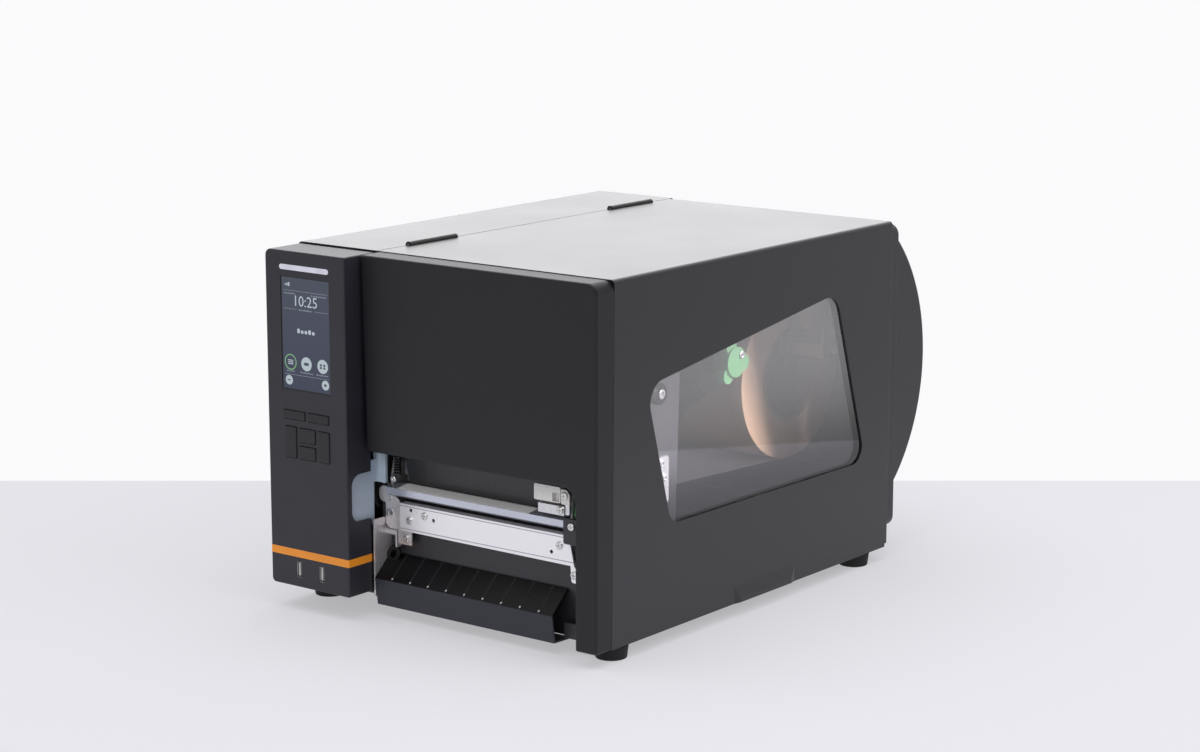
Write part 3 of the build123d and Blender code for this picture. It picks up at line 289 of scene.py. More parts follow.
lamp = Finish("status_lamp", Roughness=0.35, IOR=1.49, Emission_Strength=0.25)
spots = lamp.noise(0.012, 1.0, (1, 1, 4))
frost = lamp.noise(0.0006, 2.0)
lamp.give(Base_Color=lamp.colour(spots, (0.50, 0.50, 0.60), (0.72, 0.72, 0.80)),
          Emission_Color=lamp.colour(spots, (0.45, 0.45, 0.58), (0.85, 0.85, 0.95)))
lamp.relief(frost, 0.00001, 0.0004)
wear(lamp.material, "status_light")


# ---- Display ----
# A portrait touch display behind a bonded cover glass. It shows a slate-blue page with a clock, a
# line of state, three round buttons and two small ones, all drawn with plain shapes and numbers.

glass_low, glass_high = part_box("display_glass")
module_margin = 0.003
page_left = glass_low.x + module_margin
page_right = glass_high.x - module_margin
page_low = glass_low.z + module_margin
page_high = glass_high.z - module_margin
page_width = page_right - page_left
page_height = page_high - page_low
border = 0.0012
page_blur = 0.0004
cover_glass = Finish("cover_glass", IOR=1.5, Coat_IOR=1.5, Coat_Roughness=0.03, Emission_Strength=1.0)
across = cover_glass.axis("X")
upward = cover_glass.axis("Z")
lit = (across.near((page_left + page_right) / 2, page_width / 2 - border, page_blur)
       * upward.near((page_low + page_high) / 2, page_height / 2 - border, page_blur))
rise = (upward - page_low) / page_height
smudge = cover_glass.noise(0.02, 3.0)
page_colour = cover_glass.colour(rise, (0.022, 0.030, 0.058), (0.040, 0.050, 0.078))
cover_glass.give(Base_Color=cover_glass.colour(smudge, (0.004, 0.004, 0.006), (0.007, 0.007, 0.009)),
                 Roughness=0.06 + 0.08 * smudge,
                 Emission_Color=cover_glass.colour(lit, (0.0, 0.0, 0.0), page_colour))
wear(cover_glass.material, "display_glass")


def page_point(across_share, up_share):
    """A place on the display's page, from shares of its width and height."""
    return page_left + across_share * page_width, page_low + up_share * page_height


def new_piece(name, points, faces, body, slot, material, smooth=False):
    """A finished mesh piece that rides on a body."""
    mesh = bpy.data.meshes.new(name)
    mesh.from_pydata([tuple(p) for p in points], [], [tuple(f) for f in faces])
    mesh.polygons.foreach_set("use_smooth", [smooth] * len(mesh.polygons))
    mesh.materials.append(material)
    mesh.validate()
    piece = bpy.data.objects.new(name, mesh)
    bpy.context.scene.collection.objects.link(piece)
    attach(piece, body)
    return piece


def wrapped_faces(rows, columns, closed_rows):
    """Quads of a grid of points numbered row by row. The last column joins the first, and in a grid
    with closed rows so does the last row."""
    row = np.arange(rows if closed_rows else rows - 1)
    a, b = np.meshgrid(row, np.arange(columns), indexing="ij")
    next_a, next_b = (a + 1) % rows, (b + 1) % columns
    corners = [a * columns + b, next_a * columns + b,
               next_a * columns + next_b, a * columns + next_b]
    return np.stack(corners, axis=-1).reshape(-1, 4)


def joined(shapes):
    """Several (points, faces) shapes as one, with the faces of each renumbered."""
    points, faces, count = [], [], 0
    for shape_points, shape_faces in shapes:
        points.append(np.asarray(shape_points, float))
        faces += [tuple(int(i) + count for i in face) for face in shape_faces]
        count += len(shape_points)
    return np.concatenate(points), faces


def prism(outline, axis, low, high):
    """A flat outline carried straight along an axis: its points twice, a band of quads and two caps.
    The outline's two numbers are the other two axes, in the order x, y, z, taken anticlockwise."""
    outline = np.asarray(outline, float)
    count = len(outline)
    sides = {"x": (1, 2), "y": (0, 2), "z": (0, 1)}[axis]
    along = "xyz".index(axis)
    points = np.zeros((2 * count, 3))
    points[:, sides] = np.tile(outline, (2, 1))
    points[:count, along] = low
    points[count:, along] = high
    step = np.arange(count)
    band = np.stack([step, (step + 1) % count, (step + 1) % count + count, step + count], axis=1)
    faces = [tuple(face) for face in band] + [tuple(step[::-1]), tuple(step + count)]
    if axis == "y":
        faces = [face[::-1] for face in faces]
    return points, faces


def rounded_box(x0, x1, z0, z1, radius, steps=5):
    """Outline of a rectangle with quarter-circle corners, going round anticlockwise."""
    turn = np.linspace(0, np.pi / 2, steps)
    corners = [(x1 - radius, z1 - radius, 0), (x0 + radius, z1 - radius, 1),
               (x0 + radius, z0 + radius, 2), (x1 - radius, z0 + radius, 3)]
    arcs = [np.stack([cx + radius * np.cos(turn + quarter * np.pi / 2),
                      cz + radius * np.sin(turn + quarter * np.pi / 2)], axis=1)
            for cx, cz, quarter in corners]
    return np.concatenate(arcs)


def turned(profile, centre, axis, segments=32):
    """A profile of (radius, height) points spun about an axis through a centre: each radius times
    the cosine and sine of the turn gives the two cross axes, and the height goes along the axis.
    The profile runs from the axis round the outside and back to the axis, or is a closed loop."""
    profile = np.asarray(profile, float)
    turn = np.linspace(0, 2 * np.pi, segments, endpoint=False)
    along = "xyz".index(axis)
    first, second = (along + 1) % 3, (along + 2) % 3
    points = np.zeros((len(profile), segments, 3))
    points[..., first] = centre[first] + profile[:, :1] * np.cos(turn)
    points[..., second] = centre[second] + profile[:, :1] * np.sin(turn)
    points[..., along] = centre[along] + profile[:, 1:]
    points = points.reshape(-1, 3)
    is_ring = profile[0, 0] > 0
    faces = [tuple(face) for face in wrapped_faces(len(profile), segments, is_ring)]
    if not is_ring:
        faces = [face for face in faces if len({tuple(np.round(points[i], 9)) for i in face}) > 2]
    return points, faces


def tidied(piece):
    """Merges doubled points, as at a pole, and turns every face outwards."""
    work = bmesh.new()
    work.from_mesh(piece.data)
    bmesh.ops.remove_doubles(work, verts=work.verts, dist=1e-7)
    bmesh.ops.dissolve_degenerate(work, edges=work.edges, dist=1e-8)
    bmesh.ops.recalc_face_normals(work, faces=work.faces)
    work.to_mesh(piece.data)
    work.free()
    return piece


def glowing(name, tone, strength):
    """Part of what the display shows: it gives out its colour, with a faint fine grain."""
    ink = Finish(name, Roughness=0.2, Emission_Strength=strength)
    grain = ink.noise(0.0004, 1.0)
    ink.give(Base_Color=ink.colour(grain, (0.01, 0.01, 0.01), (0.02, 0.02, 0.02)),
             Emission_Color=ink.colour(grain, *between(tone, 0.9, 1.0)))
    return ink.material


ink_gap = 0.00012
ink_depth = 0.0001
ink_y = glass_low.y - ink_gap
pale_ink = glowing("pale_ink", (0.52, 0.60, 0.66), 0.8)
faint_ink = glowing("faint_ink", (0.24, 0.27, 0.34), 0.8)
green_ink = glowing("green_ink", (0.22, 0.50, 0.24), 0.8)
dark_ink = glowing("dark_ink", (0.04, 0.05, 0.075), 0.9)


def bar(across_0, across_1, up_0, up_1, radius_share=0.4, lift=0.0):
    """A round-ended bar on the page, between shares of the page's width and height."""
    x0, z0 = page_point(across_0, up_0)
    x1, z1 = page_point(across_1, up_1)
    outline = rounded_box(x0, x1, z0, z1, radius_share * min(x1 - x0, z1 - z0), 3)
    return prism(outline, "y", ink_y - lift, ink_y - lift + ink_depth)


def disc(across, up, radius):
    """A round button on the page."""
    x, z = page_point(across, up)
    profile = [(0, 0), (radius, 0), (radius, ink_depth), (0, ink_depth)]
    return turned(profile, (x, ink_y, z), "y", 40)


def ring(across, up, radius, width):
    """A ring on the page."""
    x, z = page_point(across, up)
    profile = [(radius, 0), (radius, ink_depth), (radius - width, ink_depth), (radius - width, 0)]
    return turned(profile, (x, ink_y, z), "y", 40)


def row_of_bars(across_0, across_1, up_0, up_1, count):
    """A row of short bars of uneven heights, standing for a line of small print."""
    step = (across_1 - across_0) / count
    heights = [1.0, 0.7, 0.75, 1.0, 0.7]
    return [bar(across_0 + i * step, across_0 + (i + 0.72) * step, up_0,
                up_0 + (up_1 - up_0) * heights[i % len(heights)], 0.3) for i in range(count)]


button_radius = 0.0058
small_radius = 0.0040
button_places = [(0.175, 0.245), (0.50, 0.245), (0.83, 0.245)]
ring_radius = 0.0066
ring_width = 0.0009
corner_places = [(0.14, 0.085), (0.88, 0.085)]
pale_shapes = [bar(0.085, 0.105, 0.915, 0.93), bar(0.12, 0.145, 0.912, 0.937),
               bar(0.155, 0.185, 0.909, 0.945)]
pale_shapes += row_of_bars(0.325, 0.70, 0.508, 0.548, 5)
pale_shapes += [disc(*place, button_radius) for place in button_places[1:]]
pale_shapes += [disc(*place, small_radius) for place in corner_places]
pale_shapes += [bar(0.12, 0.23, up, up + 0.008, 0.3) for up in (0.225, 0.241, 0.257)]
faint_shapes = [bar(0.06, 0.95, 0.872, 0.876), bar(0.06, 0.32, 0.712, 0.716),
                bar(0.69, 0.95, 0.712, 0.716), bar(0.06, 0.95, 0.135, 0.139)]
faint_shapes += row_of_bars(0.07, 0.30, 0.842, 0.856, 7) + row_of_bars(0.62, 0.93, 0.842, 0.856, 9)
faint_shapes += row_of_bars(0.37, 0.64, 0.706, 0.722, 8)
faint_shapes += row_of_bars(0.10, 0.26, 0.160, 0.174, 4) + row_of_bars(0.37, 0.64, 0.160, 0.174, 8)
faint_shapes += row_of_bars(0.70, 0.95, 0.160, 0.174, 7)
lift = 0.00012
dark_shapes = [bar(0.45, 0.55, 0.232, 0.258, 0.4, lift), bar(0.775, 0.815, 0.248, 0.266, 0.2, lift),
               bar(0.845, 0.885, 0.248, 0.266, 0.2, lift), bar(0.775, 0.815, 0.224, 0.242, 0.2, lift),
               bar(0.845, 0.885, 0.224, 0.242, 0.2, lift), bar(0.105, 0.175, 0.081, 0.089, 0.3, lift),
               bar(0.855, 0.905, 0.074, 0.096, 0.3, lift)]
ring_shapes = [ring(*button_places[0], ring_radius, ring_width)]
for piece_name, shapes, ink in [("display_marks", pale_shapes, pale_ink),
                                ("display_lines", faint_shapes, faint_ink),
                                ("display_symbols", dark_shapes, dark_ink),
                                ("display_ring", ring_shapes, green_ink)]:
    tidied(new_piece(piece_name, *joined(shapes), "chassis", "display_glass", ink))

clock_text = bpy.data.curves.new("clock_text", "FONT")
clock_text.body = "10:25"
clock_text.size = 0.0125
clock_text.align_x = "CENTER"
clock_text.extrude = ink_depth / 2
clock_text.resolution_u = 3
text_object = bpy.data.objects.new("clock_text", clock_text)
clock_mesh = bpy.data.meshes.new_from_object(text_object)
bpy.data.objects.remove(text_object)
clock_x, clock_z = page_point(0.5, 0.745)
upright = Matrix.Translation((clock_x, ink_y, clock_z)) @ Matrix.Rotation(math.radians(90), 4, "X")
clock_mesh.transform(upright)
clock_mesh.materials.clear()
clock_mesh.materials.append(pale_ink)
clock = bpy.data.objects.new("display_clock", clock_mesh)
bpy.context.scene.collection.objects.link(clock)
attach(tidied(clock), "chassis")


# ---- USB sockets ----
# Two upright sockets in the column's foot, soldered to a board behind it. Each is a folded,
# tinned shell round a white tongue.

usb_low, usb_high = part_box("usb_ports")
shell_width = 0.0057
tongue_inset = 0.0018
tongue_half_width = 0.00095
tongue_half_height = 0.0056
tongue_depth = 0.0009
tongue_blur = 0.0001
sockets = Finish("usb_shell_and_tongue", IOR=1.5)
tongue = sum(sockets.axis("X").near(shell_left + tongue_inset, tongue_half_width, tongue_blur)
             for shell_left in (usb_low.x, usb_high.x - shell_width))
tin = sockets.noise(0.002, 3.0, (1, 6, 1))
deep = sockets.axis("Y").above(usb_low.y + tongue_depth, tongue_blur)
inside = tongue * deep * sockets.axis("Z").near((usb_low.z + usb_high.z) / 2, tongue_half_height,
                                                tongue_blur)
shell_tone = sockets.colour(tin, (0.45, 0.45, 0.46), (0.66, 0.66, 0.68))
tongue_tone = sockets.colour(tin, (0.62, 0.62, 0.60), (0.75, 0.75, 0.73))
sockets.give(Base_Color=sockets.colour(inside, shell_tone, tongue_tone),
             Metallic=1 - inside, Roughness=0.22 + 0.15 * tin + 0.15 * inside)
sockets.relief(tin, 0.00001, 0.0002)
wear(sockets.material, "usb_ports")


# ---- Front bezel ----
# The hollow front of the door, moulded in the same black plastic as the column but with a finer,
# darker texture. The label mouth is cut from its lower left.

wear(moulded_plastic("bezel_plastic", (0.0066, 0.0066, 0.0105), 0.50, 0.0006, 0.00002), "front_bezel")


# ---- Window ----
# A smoked acrylic pane, held behind the door's opening by its overlapping rim. It mirrors more at a
# grazing angle and lets the rest of the light through. Above a set height it is made to mirror more,
# a painted reflection that makes the upper pane look brighter.

pane = Finish("smoked_acrylic", Roughness=0.03, Metallic=1.0, Base_Color=(0.95, 0.95, 0.97, 1))
haze = pane.noise(0.05, 3.0)
pane.relief(haze, 0.00001)
see_through = pane.add("ShaderNodeBsdfTransparent")
tint = pane.colour(haze, (0.84, 0.83, 0.85), (0.88, 0.87, 0.89))
pane.feed(see_through.inputs["Color"], tint)
grazing = Field(pane.tree, pane.add("ShaderNodeLayerWeight").outputs["Facing"])
# Mirroring raised above a set height: a painted reflection, brighter in the upper pane.
painted_reflection_by_height = 0.38 + 1.02 * pane.axis("Z").above(0.16, 0.12)
mirroring = (0.07 + 1.9 * grazing ** 3.2) * painted_reflection_by_height
surface = pane.add("ShaderNodeMixShader", {}, {0: mirroring, 1: see_through.outputs[0],
                                               2: pane.shader.outputs[0]})
pane.feed(pane.output.inputs["Surface"], surface.outputs[0])
wear(pane.material, "window_pane")


# ---- Mechanism plates ----
# Side plates, cheek plates, floor plate and power supply case, pressed and folded from plated
# steel sheet and screwed to the centre wall. The front plate is folded twice, at its top and foot;
# each fold is drawn as a dark line across it, a painted shade where the bend turns from the light.

plated = bare_metal("zinc_plated_steel", (0.70, 0.69, 0.71), 0.30, (1, 1, 12), 0.0008, 0.000006, 0.6)
wear(plated, "inner_plate", "outer_plate", "power_supply", "media_plate")
wear(bare_metal("cheek_steel", (0.74, 0.71, 0.72), 0.20, (1, 1, 14), 0.0008, 0.000006, 0.6),
     "cheek_plates")
fold_heights = (0.0936, 0.0745)
fold_half_width = 0.00035
folded = Finish("bright_folded_steel", Metallic=0.55)
roll_marks = folded.noise(0.0008, 3.0, (14, 1, 1))
# Dark lines at the two folds: painted shade where each bend turns away from the light.
fold_shade_lines = sum(folded.axis("Z").near(height, fold_half_width, 0.0004) for height in fold_heights)
flat_tone = folded.colour(roll_marks, (0.90, 0.89, 0.93), (0.99, 0.98, 1.0))
fold_shade_tone = folded.colour(roll_marks, (0.30, 0.30, 0.33), (0.40, 0.40, 0.43))
folded.give(Base_Color=folded.colour(fold_shade_lines, flat_tone, fold_shade_tone), Roughness=0.30 + 0.08 * roll_marks)
folded.relief(roll_marks, 0.000004, 0.0004)
wear(folded.material, "front_plate")
wear(bare_metal("tear_bar_steel", (0.66, 0.68, 0.78), 0.18, (30, 1, 1), 0.0005, 0.000004, 0.8),
     "tear_bar")
wear(bare_metal("ground_steel", (0.62, 0.62, 0.64), 0.20, (20, 1, 1), 0.0005),
     "platen_shaft", "mech_shafts")
screw_steel = bare_metal("screw_steel", (0.86, 0.85, 0.84), 0.18, (1, 1, 1), 0.0004)
wear(screw_steel, "mech_screws")
wear(bare_metal("painted_wall", (0.16, 0.16, 0.17), 0.42, (1, 1, 1), 0.0012, 0.00001, 0.6),
     "centre_wall")


# ---- Print head and rollers ----
# The cast aluminium head carrier with its ceramic strip, the rubber-covered platen below it, and
# the toothed belt and pulleys that turn the platen.

wear(bare_metal("cast_aluminium", (0.52, 0.52, 0.54), 0.38, (1, 1, 1), 0.0012, 0.00003),
     "head_carriage", "platen_pulley", "motor_pulley")
wear(moulded_plastic("head_ceramic", (0.42, 0.38, 0.33), 0.25, 0.002, 0.000005), "print_head")


def rubber_finish(name, tone, gloss):
    """Rubber: matt, with a fine bloom and fine pores."""
    rubber = Finish(name, Specular_IOR_Level=0.35)
    bloom = rubber.noise(0.008, 4.0)
    pores = rubber.cells(0.0007)
    rubber.give(Base_Color=rubber.colour(bloom, *between(tone, 0.7, 1.5)),
                Roughness=gloss + 0.12 * bloom)
    rubber.relief(pores, 0.00003, 0.0005)
    return rubber.material


wear(rubber_finish("foot_rubber", (0.010, 0.010, 0.011), 0.62), "feet", "drive_belt")
wear(rubber_finish("platen_rubber", (0.030, 0.030, 0.031), 0.50), "platen_roller")


# ---- Ribbon ----
# A wax ribbon: black ink on a polyester film, drawn tight between the two spindles. It is so thin
# that it pulls into fine creases.

film = Finish("ribbon_film", Roughness=0.3, IOR=1.5, Specular_IOR_Level=0.6)
crease_relief_and_shade = film.noise(0.004, 2.0, (1, 8, 8))
dust = film.noise(0.0007, 2.0)
# The colour follows the creases, lighter on crests and darker in troughs: painted shade in the creases.
film.give(Base_Color=film.colour(crease_relief_and_shade, (0.006, 0.006, 0.007), (0.016, 0.015, 0.017)),
          Roughness=0.25 + 0.15 * dust)
film.relief(crease_relief_and_shade, 0.0002)
wear(film.material, "ribbon_film", "supply_ribbon")


# ---- Coloured touch points ----
# Glass-filled nylon mouldings. Green ones are what the user sets: hub, head lever and edge guide.
# The spindles, knob and mains parts are black, and the cheek beside the column is grey.

wear(moulded_plastic("green_nylon", (0.20, 0.50, 0.22), 0.36, 0.0008, 0.00002),
     "supply_hub", "head_lever", "media_guide")
wear(moulded_plastic("black_nylon", (0.014, 0.014, 0.015), 0.42), "rewind_spindle",
     "supply_spindle", "tension_knob", "power_inlet", "power_rocker", "stepper_motor")
wear(moulded_plastic("grey_nylon", (0.46, 0.54, 0.64), 0.34, 0.0008, 0.00001), "inner_cheek")
wear(moulded_plastic("hanger_nylon", (0.12, 0.12, 0.13), 0.40, 0.0008, 0.00001), "hanger_guard")
wear(bare_metal("hanger_steel", (0.50, 0.50, 0.52), 0.34, (12, 1, 1)), "hanger_bar")


# ---- Latch block ----
# A pale nylon block with a steel keeper below it, screwed together beside the outboard end of
# the head. The steel reaches up to the keeper's height.

keeper_height = 0.0095
latch_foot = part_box("latch_block")[0].z
latch = Finish("latch_block", IOR=1.5)
pale_part = latch.axis("Z").above(latch_foot + keeper_height, 0.0002)
mottle = latch.noise(0.003, 3.0)
keeper_tone = latch.colour(mottle, (0.60, 0.60, 0.62), (0.80, 0.80, 0.82))
block_tone = latch.colour(mottle, (0.62, 0.61, 0.60), (0.74, 0.73, 0.71))
latch.give(Base_Color=latch.colour(pale_part, keeper_tone, block_tone),
           Metallic=1 - pale_part, Roughness=0.2 + 0.2 * pale_part + 0.1 * mottle)
latch.relief(mottle, 0.00001, 0.0004)
wear(latch.material, "latch_block")


# ---- Label roll ----
# White labels on a tan glassine liner, wound on a card tube that hangs on the bar. The roll's
# faces show its turns as fine rings.

roll_low, roll_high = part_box("label_roll")
roll_y = (roll_low.y + roll_high.y) / 2
roll_z = (roll_low.z + roll_high.z) / 2


def wound(name, low, high, turn_pitch, gloss):
    """Wound stock: its colour and height follow the distance from the roll's axis."""
    stock = Finish(name, Specular_IOR_Level=0.3)
    dy, dz = stock.axis("Y") - roll_y, stock.axis("Z") - roll_z
    from_axis = (dy * dy + dz * dz) ** 0.5
    ramp = stock.add("ShaderNodeTexNoise", {"noise_dimensions": "1D"},
                     {"W": from_axis, "Scale": 1 / turn_pitch, "Detail": 3.0})
    turns = Field(stock.tree, ramp.outputs[0])
    fibres = stock.noise(0.002, 4.0)
    stock.give(Base_Color=stock.colour(0.75 * turns + 0.25 * fibres, low, high),
               Roughness=gloss + 0.1 * fibres)
    stock.relief(turns, 0.0002)
    return stock.material


wear(wound("label_stock", (0.72, 0.43, 0.25), (0.92, 0.66, 0.44), 0.0009, 0.62), "label_roll")
wear(wound("core_card", (0.34, 0.24, 0.15), (0.50, 0.37, 0.25), 0.0006, 0.7), "label_core")


# ---- Circuit boards and rear sockets ----
# Green solder mask on glass cloth, screwed to the far side of the wall. The network, USB and
# serial sockets have tinned shells that show through the rear frame.

board = Finish("circuit_board", IOR=1.5)
weave = board.noise(0.0011, 1.0, (1, 1, 3))
tracks = board.cells(0.006, (1, 1, 0.4)).above(0.35, 0.05)
board.give(Base_Color=board.colour(tracks, (0.006, 0.060, 0.022), (0.012, 0.110, 0.040)),
           Roughness=0.28 + 0.1 * weave)
board.relief(weave, 0.00002, 0.0003)
wear(board.material, "circuit_boards")
wear(bare_metal("tinned_shell", (0.60, 0.60, 0.61), 0.26, (1, 8, 1)), "rear_ports")


# ---- Exit tray ----
# A chute of black ABS, hooked under the mouth. Each score across its slope is drawn as a light line,
# a painted highlight along a rib, and ends in a small moulded pip coloured white, a painted glint on
# the rib's tip. Its lip is rougher than its slope.

score_first = -0.0560
score_last = 0.0985
score_count = 9
score_step = (score_last - score_first) / (score_count - 1)
lip_height = 0.0322
chute = Finish("tray_plastic", Specular_IOR_Level=0.35, IOR=1.45)
lip = 1 - chute.axis("Z").above(lip_height, 0.0008)
chute_grain = chute.noise(0.0007, 3.0)
from_first = chute.axis("X") - score_first
# Light lines along the scores: a painted highlight on each rib.
score_highlight = 1 - from_first.maths("PINGPONG", from_first, score_step / 2).above(0.0005, 0.0003)
plain_tone = chute.colour(chute_grain, (0.0015, 0.0013, 0.0018), (0.0030, 0.0026, 0.0034))
score_highlight_tone = chute.colour(chute_grain, (0.040, 0.038, 0.042), (0.060, 0.058, 0.062))
lip_tone = chute.colour(chute_grain, (0.036, 0.036, 0.050), (0.046, 0.046, 0.062))
chute.give(Base_Color=chute.colour(lip, chute.colour(score_highlight, plain_tone, score_highlight_tone), lip_tone),
           Roughness=0.36 + 0.12 * lip + 0.06 * chute_grain)
chute.relief(chute_grain, 0.00002, 0.0005)
wear(chute.material, "exit_tray")

pip_radius = 0.0009
pip_height = 0.0003
pip_above_foot = 0.0022
slope_top = Vector((0, -0.2034, 0.0506))
slope_foot = Vector((0, -0.2236, 0.0326))
down_slope = (slope_foot - slope_top).normalized()
out_of_slope = Vector((0, down_slope.z, -down_slope.y))
pip_place = slope_foot - down_slope * pip_above_foot
rim_angle = np.linspace(0, np.pi / 2, 4)
dome = np.stack([pip_radius * np.cos(rim_angle), pip_height * np.sin(rim_angle)], axis=1)
dome = np.concatenate([[(0, -pip_height)], [(pip_radius, -pip_height)], dome])
dome[-1, 0] = 0
dome_points, dome_faces = turned(dome[::-1], (0, 0, 0), "z", 12)
dome_points = (dome_points[:, :1] * np.array([1.0, 0, 0]) + dome_points[:, 1:2] * np.array(down_slope)
               + dome_points[:, 2:] * np.array(out_of_slope))
pips = [(dome_points + np.array([score_x, pip_place.y, pip_place.z]), dome_faces)
        for score_x in np.linspace(score_first, score_last, score_count)]
# White pips: a painted glint on each rib's tip.
pip_glint_white = moulded_plastic("pip_painted_glint", (0.75, 0.75, 0.78), 0.30, 0.0004, 0.000005)
tidied(new_piece("tray_pips", *joined(pips), "chassis", "black_plastic", pip_glint_white, True))


# ---- Small hardware in the media bay ----
# Socket-headed screws on the tension knob, the hub and a bright spring clip on the outboard plate,
# and a white plate on the hanger's upturned end, a painted glint where that end catches the light.

def socket_screw(centre, axis, radius, height):
    """A screw head with rounded shoulders and a round socket, its profile turned about an axis: shares
    of a radius and a height. A height below zero makes it face down the axis."""
    shares = np.array([(0, 0), (1, 0), (1, 0.6), (0.93, 0.85), (0.78, 1), (0.46, 1), (0.42, 0.9),
                       (0.42, 0.35), (0, 0.35)])
    return turned(shares * (radius, height), centre, axis, 28)


def rounded_plate(low, high, radius):
    """A flat plate between two corners, thin along X, with rounded corners."""
    outline = rounded_box(low[1], high[1], low[2], high[2], radius)
    return prism(outline, "x", low[0], high[0])


bright_nickel = bare_metal("bright_nickel", (0.93, 0.92, 0.90), 0.22, (1, 1, 1), 0.0006, 0.000005, 0.6)
# White hanger cap: a painted glint where the hanger's end catches the light.
cap_glint_white = moulded_plastic("hanger_cap_painted_glint", (0.86, 0.86, 0.88), 0.35, 0.0006, 0.000008)
knob_centre = (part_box("tension_knob")[1].x, -0.1010, 0.1925)
hub_centre = (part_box("supply_hub")[1].x, 0.0225, 0.2052)
clip_low = (0.1201, -0.0950, 0.0985)
clip_high = (0.1213, -0.0805, 0.1375)
clip_corner = 0.002
clip_screw_places = [(0.1213, -0.0905, 0.1325), (0.1213, -0.0868, 0.1200)]
clip_shapes = [rounded_plate(clip_low, clip_high, clip_corner)]
clip_shapes += [socket_screw(place, "x", 0.0030, 0.0016) for place in clip_screw_places]
cap_outline = [(0.1575, 0.2030), (0.1695, 0.2010), (0.1690, 0.2225), (0.1570, 0.2240)]
cap_inner_x = 0.1251
cap_outer_x = 0.1263
tip_profile = [(0, 0), (0.0040, 0), (0.0040, 0.0010), (0.0030, 0.0022), (0, 0.0024)]
tip_centre = (0.1250, 0.1600, 0.1890)
nickel_shapes = [("tension_knob_screw", socket_screw(knob_centre, "x", 0.0042, 0.0014), "tension_dial"),
                 ("hub_screw", socket_screw(hub_centre, "x", 0.0034, 0.0014), "supply_group"),
                 ("outer_plate_clip", joined(clip_shapes), "chassis"),
                 ("hanger_tip", turned(tip_profile, tip_centre, "x", 24), "chassis")]
media_pieces = [tidied(new_piece(piece_name, *shape, body, "polished_steel", bright_nickel))
                for piece_name, shape, body in nickel_shapes]
media_pieces.append(tidied(new_piece("hanger_cap", *prism(cap_outline, "x", cap_inner_x, cap_outer_x),
                                     "chassis", "ivory_plastic", cap_glint_white)))


# ---- Label web ----
# The loaded stock, drawn off the bottom of the roll, over the floor plate, through the nip and out
# across the top of the tear bar.

web_path = np.array([(0.1400, 0.0888), (-0.0780, 0.0984), (-0.1140, 0.0990), (-0.1840, 0.10914),
                     (-0.1935, 0.10920), (-0.2014, 0.11092), (-0.2143, 0.10914)])
web_thickness = 0.00014
web_left = -0.0560
web_right = 0.0823
web_outline = np.concatenate([web_path, (web_path + (0, web_thickness))[::-1]])
stock_white = Finish("label_face", Specular_IOR_Level=0.4)
web_fibres = stock_white.noise(0.0012, 3.0)
stock_white.give(Base_Color=stock_white.colour(web_fibres, (0.84, 0.84, 0.84), (0.90, 0.90, 0.90)),
                 Roughness=0.42 + 0.1 * web_fibres)
stock_white.relief(web_fibres, 0.000005)
web = tidied(new_piece("label_web", *prism(web_outline, "x", web_left, web_right), "chassis",
                       "label_paper", stock_white.material))


# ---- Mouth hardware ----
# At the left of the mouth: a black coil spring above the tear bar, a ribbed rubber loop that holds
# the cable behind the cheek plate, and three bright screw heads.

def tube(path, radii, sides, closed=False):
    """Circles of given radii set square to a path and joined up: at each point the direction is the
    difference of its neighbours, and its cross product with the Y axis gives the first of two cross
    directions, which carry the cosine and the sine of the turn."""
    count = len(path)
    if closed:
        direction = np.roll(path, -1, axis=0) - np.roll(path, 1, axis=0)
    else:
        direction = np.gradient(path, axis=0)
    direction /= np.linalg.norm(direction, axis=1, keepdims=True)
    first = np.cross(direction, [0.0, 1.0, 0.0])
    first /= np.linalg.norm(first, axis=1, keepdims=True)
    second = np.cross(direction, first)
    turn = np.linspace(0, 2 * np.pi, sides, endpoint=False)
    radii = np.broadcast_to(radii, (count,))[:, None, None]
    points = path[:, None] + radii * (np.cos(turn)[None, :, None] * first[:, None]
                                      + np.sin(turn)[None, :, None] * second[:, None])
    faces = [tuple(face) for face in wrapped_faces(count, sides, closed)]
    if not closed:
        faces += [tuple(range(sides))[::-1], tuple(range((count - 1) * sides, count * sides))]
    return points.reshape(-1, 3), faces


coil_turns = 7
coil_radius = 0.0026
coil_height = 0.0155
wire_radius = 0.0007
coil_step = np.linspace(0, 1, coil_turns * 18 + 1)
coil_angle = 2 * np.pi * coil_turns * coil_step
coil_path = np.stack([-0.0612 + coil_radius * np.cos(coil_angle),
                      -0.2076 + coil_radius * np.sin(coil_angle),
                      0.1190 + coil_height * coil_step], axis=1)
loop_half_width = 0.0052
loop_half_height = 0.0050
loop_lean = 0.35
cord_radius = 0.0021
rib_count = 24
loop_angle = np.linspace(0, 2 * np.pi, 96, endpoint=False)
loop_across = loop_half_width * np.cos(loop_angle)
loop_path = np.stack([-0.0672 + loop_across, np.full(len(loop_angle), -0.2068),
                      0.0505 + loop_half_height * np.sin(loop_angle) + loop_lean * loop_across], axis=1)
loop_radii = cord_radius * (1 + 0.10 * np.cos(rib_count * loop_angle))
spring_black = rubber_finish("spring_black", (0.006, 0.006, 0.007), 0.40)
for piece_name, shape in [("head_spring", tube(coil_path, wire_radius, 10)),
                          ("cable_loop", tube(loop_path, loop_radii, 14, True))]:
    tidied(new_piece(piece_name, *shape, "chassis", "rubber", spring_black, True))
mouth_screws = [socket_screw((-0.0640, -0.2090, 0.1150), "y", 0.0030, -0.0020),
                socket_screw((-0.0690, -0.2090, 0.0855), "y", 0.0040, -0.0005),
                socket_screw((-0.0690, -0.2090, 0.0985), "y", 0.0024, -0.0005)]
